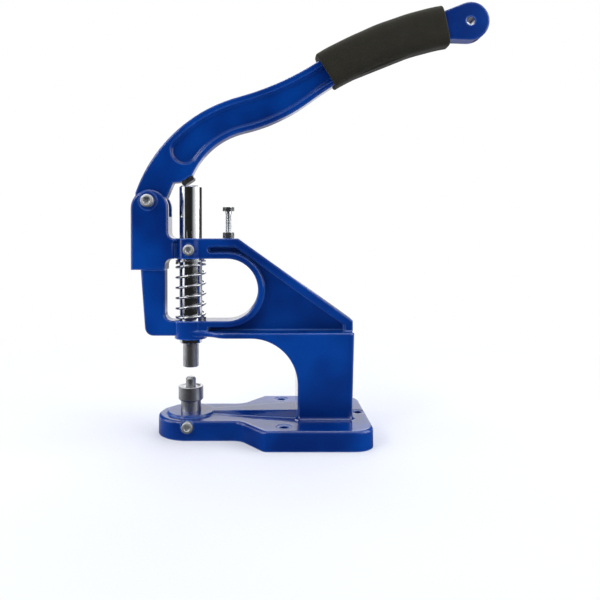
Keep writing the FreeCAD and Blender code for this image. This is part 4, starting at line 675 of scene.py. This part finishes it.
def sleeve_points(sizes):
    """Outer skin from mouth to tail, over the cut end, back along the bore and over the other
    end.  Rings are superellipses square to the bar's arc; slow sines dent the skin."""
    columns, runs, lip_steps = 96, 90, 7
    skin_power, bore_power = 4.2, 14
    clearance = 0.1 * MM
    angle = np.linspace(0, 2 * math.pi, columns, endpoint=False)
    outer_depth = sizes.bar_depth / 2 + sizes.foam_wall
    outer_width = sizes.bar_width / 2 + sizes.foam_wall
    inner_depth = sizes.bar_depth / 2 + clearance
    inner_width = sizes.bar_width / 2 + clearance
    lip = sizes.foam_lip
    bend = lip / sizes.bar_radius
    quarter = np.linspace(0, math.pi / 2, lip_steps)
    start, end = sizes.grip_start, sizes.grip_end
    along = np.linspace(start - bend, end + bend, runs)
    stations = [(place, 0.0) for place in along]
    stations += [(end + bend * (1 - math.sin(q)), lip * (1 - math.cos(q))) for q in quarter[1:]]
    stations += [(end, None), (start, None)]
    stations += [(start - bend * (1 - math.cos(q)), lip * (1 - math.sin(q))) for q in quarter[:-1]]
    rings = []
    for place, inset in stations:
        share = (start - place) / (start - end)
        swell = sizes.foam_swell / 2 * share
        if inset is None:
            depth, width = rounded_section(inner_depth, inner_width, bore_power, angle)
        else:
            dent = sizes.foam_dent * (
                np.sin(9 * share + 1.3) * np.cos(2 * angle) + 0.7 * np.sin(17 * share + angle)
                + 0.5 * np.sin(29 * share + 3 * angle + 0.6)) / 2.2
            depth, width = rounded_section(outer_depth + swell - inset, outer_width - inset,
                                           skin_power, angle)
            reach = np.hypot(depth, width)
            depth, width = depth * (1 + dent / reach), width * (1 + dent / reach)
            depth = depth + sizes.foam_lift * (1 - share)
        radius = sizes.bar_radius + depth
        rings.append(np.stack([sizes.bar_centre_x - radius * math.sin(place), width,
                               sizes.bar_centre_z + radius * math.cos(place)], axis=-1))
    return np.array(rings)


class EYELET_OT_ram(bpy.types.Operator):
    """Ground finish on the ram, plate on its ring and washer"""
    bl_idname = "eyelet.ram"
    bl_label = "Ram, ring and washer"

    def execute(self, context):
        colours = context.scene.eyelet_colours
        dress("ram", ground_steel(colours))
        dress("retaining_ring", bright_zinc(colours))
        dress("spring_washer", bright_zinc(colours))
        return {"FINISHED"}


class EYELET_OT_spring(bpy.types.Operator):
    """Return spring wound from round wire along a helix"""
    bl_idname = "eyelet.spring"
    bl_label = "Return spring"

    def execute(self, context):
        colours, sizes = context.scene.eyelet_colours, context.scene.eyelet_sizes
        low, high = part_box("return_spring")
        piece = shell("return_coil", coil_points(low, high, sizes), cap_ends=True)
        settle(piece, drawn_wire(colours), "frame", "return_spring")
        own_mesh(piece)
        return {"FINISHED"}


def coil_points(low, high, sizes):
    """A round wire carried along a helix.  Height climbs slowly over the closed turns at each
    end and evenly between them; each ring lies square to the helix's tangent."""
    rings, columns, blend = 420, 16, 15
    wire = sizes.wire
    radius = (high.x - low.x) / 2 - wire / 2
    turn = np.linspace(0, sizes.spring_turns, rings)
    closed = sizes.closed_turns
    slow = wire * 1.02
    free = sizes.spring_turns - 2 * closed
    pitch = (high.z - low.z - wire - 2 * closed * slow) / free
    climb = np.clip(turn, 0, closed) * slow + np.clip(turn - closed, 0, free) * pitch
    climb += np.clip(turn - closed - free, 0, closed) * slow
    weights = np.hanning(blend)
    padded = np.pad(climb, blend // 2, mode="edge")
    climb = np.convolve(padded, weights / weights.sum(), mode="valid")
    angle = 2 * math.pi * turn
    centre = np.stack([radius * np.cos(angle), radius * np.sin(angle),
                       low.z + wire / 2 + climb], axis=-1)
    tangent = np.gradient(centre, axis=0)
    tangent /= np.linalg.norm(tangent, axis=1)[:, None]
    outward = np.stack([np.cos(angle), np.sin(angle), np.zeros(rings)], axis=-1)
    upward = np.cross(tangent, outward)
    around = np.linspace(0, 2 * math.pi, columns, endpoint=False)[None, :, None]
    across = np.cos(around) * outward[:, None] + np.sin(around) * upward[:, None]
    return centre[:, None] + wire / 2 * across


class EYELET_OT_dies(bpy.types.Operator):
    """Turned finish on the dies, hard plate under the lever's toe"""
    bl_idname = "eyelet.dies"
    bl_label = "Dies and wear pad"

    def execute(self, context):
        colours = context.scene.eyelet_colours
        steel = turned_tool_steel(colours)
        dress("upper_die", steel)
        dress("lower_die", steel)
        plate = hardened_plate(colours)
        dress("lever_wear_pad", plate)
        dress("pad_rivets", plate)
        return {"FINISHED"}


class EYELET_OT_cap_screws(bpy.types.Operator):
    """Socket cap screws with knurled heads, one of them the pivot"""
    bl_idname = "eyelet.cap_screws"
    bl_label = "Socket cap screws"

    def execute(self, context):
        colours, sizes = context.scene.eyelet_colours, context.scene.eyelet_sizes
        satin = satin_zinc(colours)
        for node, name, *lengths in CAP_SCREWS:
            shank, head, height, socket, threaded = (length * MM for length in lengths)
            low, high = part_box(node)
            levels = cap_screw_levels(sizes, high.y - low.y, shank, head, height, socket, threaded)
            points = turned(levels, sizes.knurl_ribs * 4)
            seat = low.y + height
            points = facing_near_side(points, (low.x + high.x) / 2, seat, (low.z + high.z) / 2)
            piece = shell(name, points, cap_ends=True)
            settle(piece, satin, "frame", node)
        return {"FINISHED"}


def cap_screw_levels(sizes, overall, shank, head, height, socket, threaded):
    """Levels of a cap screw from its tip up to the rim, then down into the hexagon socket.
    The head's radius is a row of rounded ribs; its rim and the socket's mouth are eased."""
    shank_end = height - overall
    ease = 0.06 * head

    def ribs(angle):
        return head / 2 - sizes.knurl_depth * (1 - np.abs(np.sin(sizes.knurl_ribs * angle / 2)))

    levels = [(shank_end, shank / 2 - 0.4 * MM)]
    if threaded:
        levels += thread_levels(shank_end + 0.1 * MM, shank_end + threaded, shank / 2,
                                sizes.pivot_pitch)
    levels += [(shank_end + max(threaded, 0.4 * MM) + 0.3 * MM, shank / 2), (0.0, shank / 2),
               (0.0, head / 2 - 0.4 * MM), (0.15 * MM, ribs), (height - 1.6 * ease, ribs),
               (height - 1.5 * ease, head / 2), (height - ease, head / 2),
               (height - 0.4 * ease, head / 2 - 0.25 * ease), (height, head / 2 - ease)]
    hollow = hexagon(socket)
    mouth = socket / 2 / math.cos(math.pi / 6) + 0.15 * MM
    levels += [(height, mouth), (height - 0.35 * MM, at_most(mouth - 0.15 * MM, hollow)),
               (height * 0.5, hollow), (height * 0.5, socket / 2 * 0.92),
               (height * 0.5 - socket * 0.2, 0.08 * socket)]
    return levels


class EYELET_OT_stop_bolt(bpy.types.Operator):
    """Threaded stop bolt with its hexagon head"""
    bl_idname = "eyelet.stop_bolt"
    bl_label = "Stop bolt"

    def execute(self, context):
        colours, sizes = context.scene.eyelet_colours, context.scene.eyelet_sizes
        low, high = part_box("stop_bolt")
        head, flats, shank = 3.5 * MM, 8.0 * MM, 5.0 * MM
        under = high.z - head
        corner = flats / 2 / math.cos(math.pi / 6)
        hexed = hexagon(flats)
        levels = [(low.z, shank / 2 - 0.6 * MM)]
        levels += thread_levels(low.z + 0.05 * MM, under - 2.2 * MM, shank / 2,
                                sizes.stop_pitch)
        levels += [(under - 2.0 * MM, shank / 2), (under, shank / 2), (under, flats / 2 - 0.1 * MM),
                   (under + 0.1 * MM, hexed), (high.z - 0.7 * MM, hexed),
                   (high.z - 0.45 * MM, at_most(corner - 0.1 * MM, hexed)),
                   (high.z - 0.2 * MM, at_most(corner - 0.4 * MM, hexed)),
                   (high.z, flats / 2 - 0.15 * MM), (high.z, 0.8 * MM)]
        points = turned(levels, 72)
        points[..., 0] += (low.x + high.x) / 2
        piece = shell("stop_hex_bolt", points, cap_ends=True)
        settle(piece, bright_zinc(colours), "stop_bolt", "stop_bolt")
        return {"FINISHED"}


class EYELET_OT_nuts(bpy.types.Operator):
    """Zinc plate on the nuts and the pivot's washer"""
    bl_idname = "eyelet.nuts"
    bl_label = "Nuts and washer"

    def execute(self, context):
        plate = bright_zinc(context.scene.eyelet_colours)
        for node in ("stop_lock_nut", "pivot_nut", "pivot_washer"):
            dress(node, plate)
        return {"FINISHED"}


OPERATORS = (EYELET_OT_stage, EYELET_OT_castings, EYELET_OT_grip, EYELET_OT_ram, EYELET_OT_spring,
             EYELET_OT_dies, EYELET_OT_cap_screws, EYELET_OT_stop_bolt, EYELET_OT_nuts)


class EYELET_PT_panel(bpy.types.Panel):
    """Lists the steps that finish the machine"""
    bl_idname = "EYELET_PT_panel"
    bl_label = "Eyelet machine"
    bl_space_type = "VIEW_3D"
    bl_region_type = "UI"
    bl_category = "Eyelet"

    def draw(self, context):
        for step in OPERATORS:
            self.layout.operator(step.bl_idname)


CLASSES = (EyeletColours, EyeletSizes, *OPERATORS, EYELET_PT_panel)


def register():
    for item in CLASSES:
        bpy.utils.register_class(item)
    bpy.types.Scene.eyelet_colours = PointerProperty(type=EyeletColours)
    bpy.types.Scene.eyelet_sizes = PointerProperty(type=EyeletSizes)


def unregister():
    del bpy.types.Scene.eyelet_sizes
    del bpy.types.Scene.eyelet_colours
    for item in reversed(CLASSES):
        bpy.utils.unregister_class(item)


def main():
    """Register and run every step in order."""
    register()
    bpy.ops.eyelet.stage()
    bpy.ops.eyelet.castings()
    bpy.ops.eyelet.grip()
    bpy.ops.eyelet.ram()
    bpy.ops.eyelet.spring()
    bpy.ops.eyelet.dies()
    bpy.ops.eyelet.cap_screws()
    bpy.ops.eyelet.stop_bolt()
    bpy.ops.eyelet.nuts()


if __name__ == "__main__":
    main()
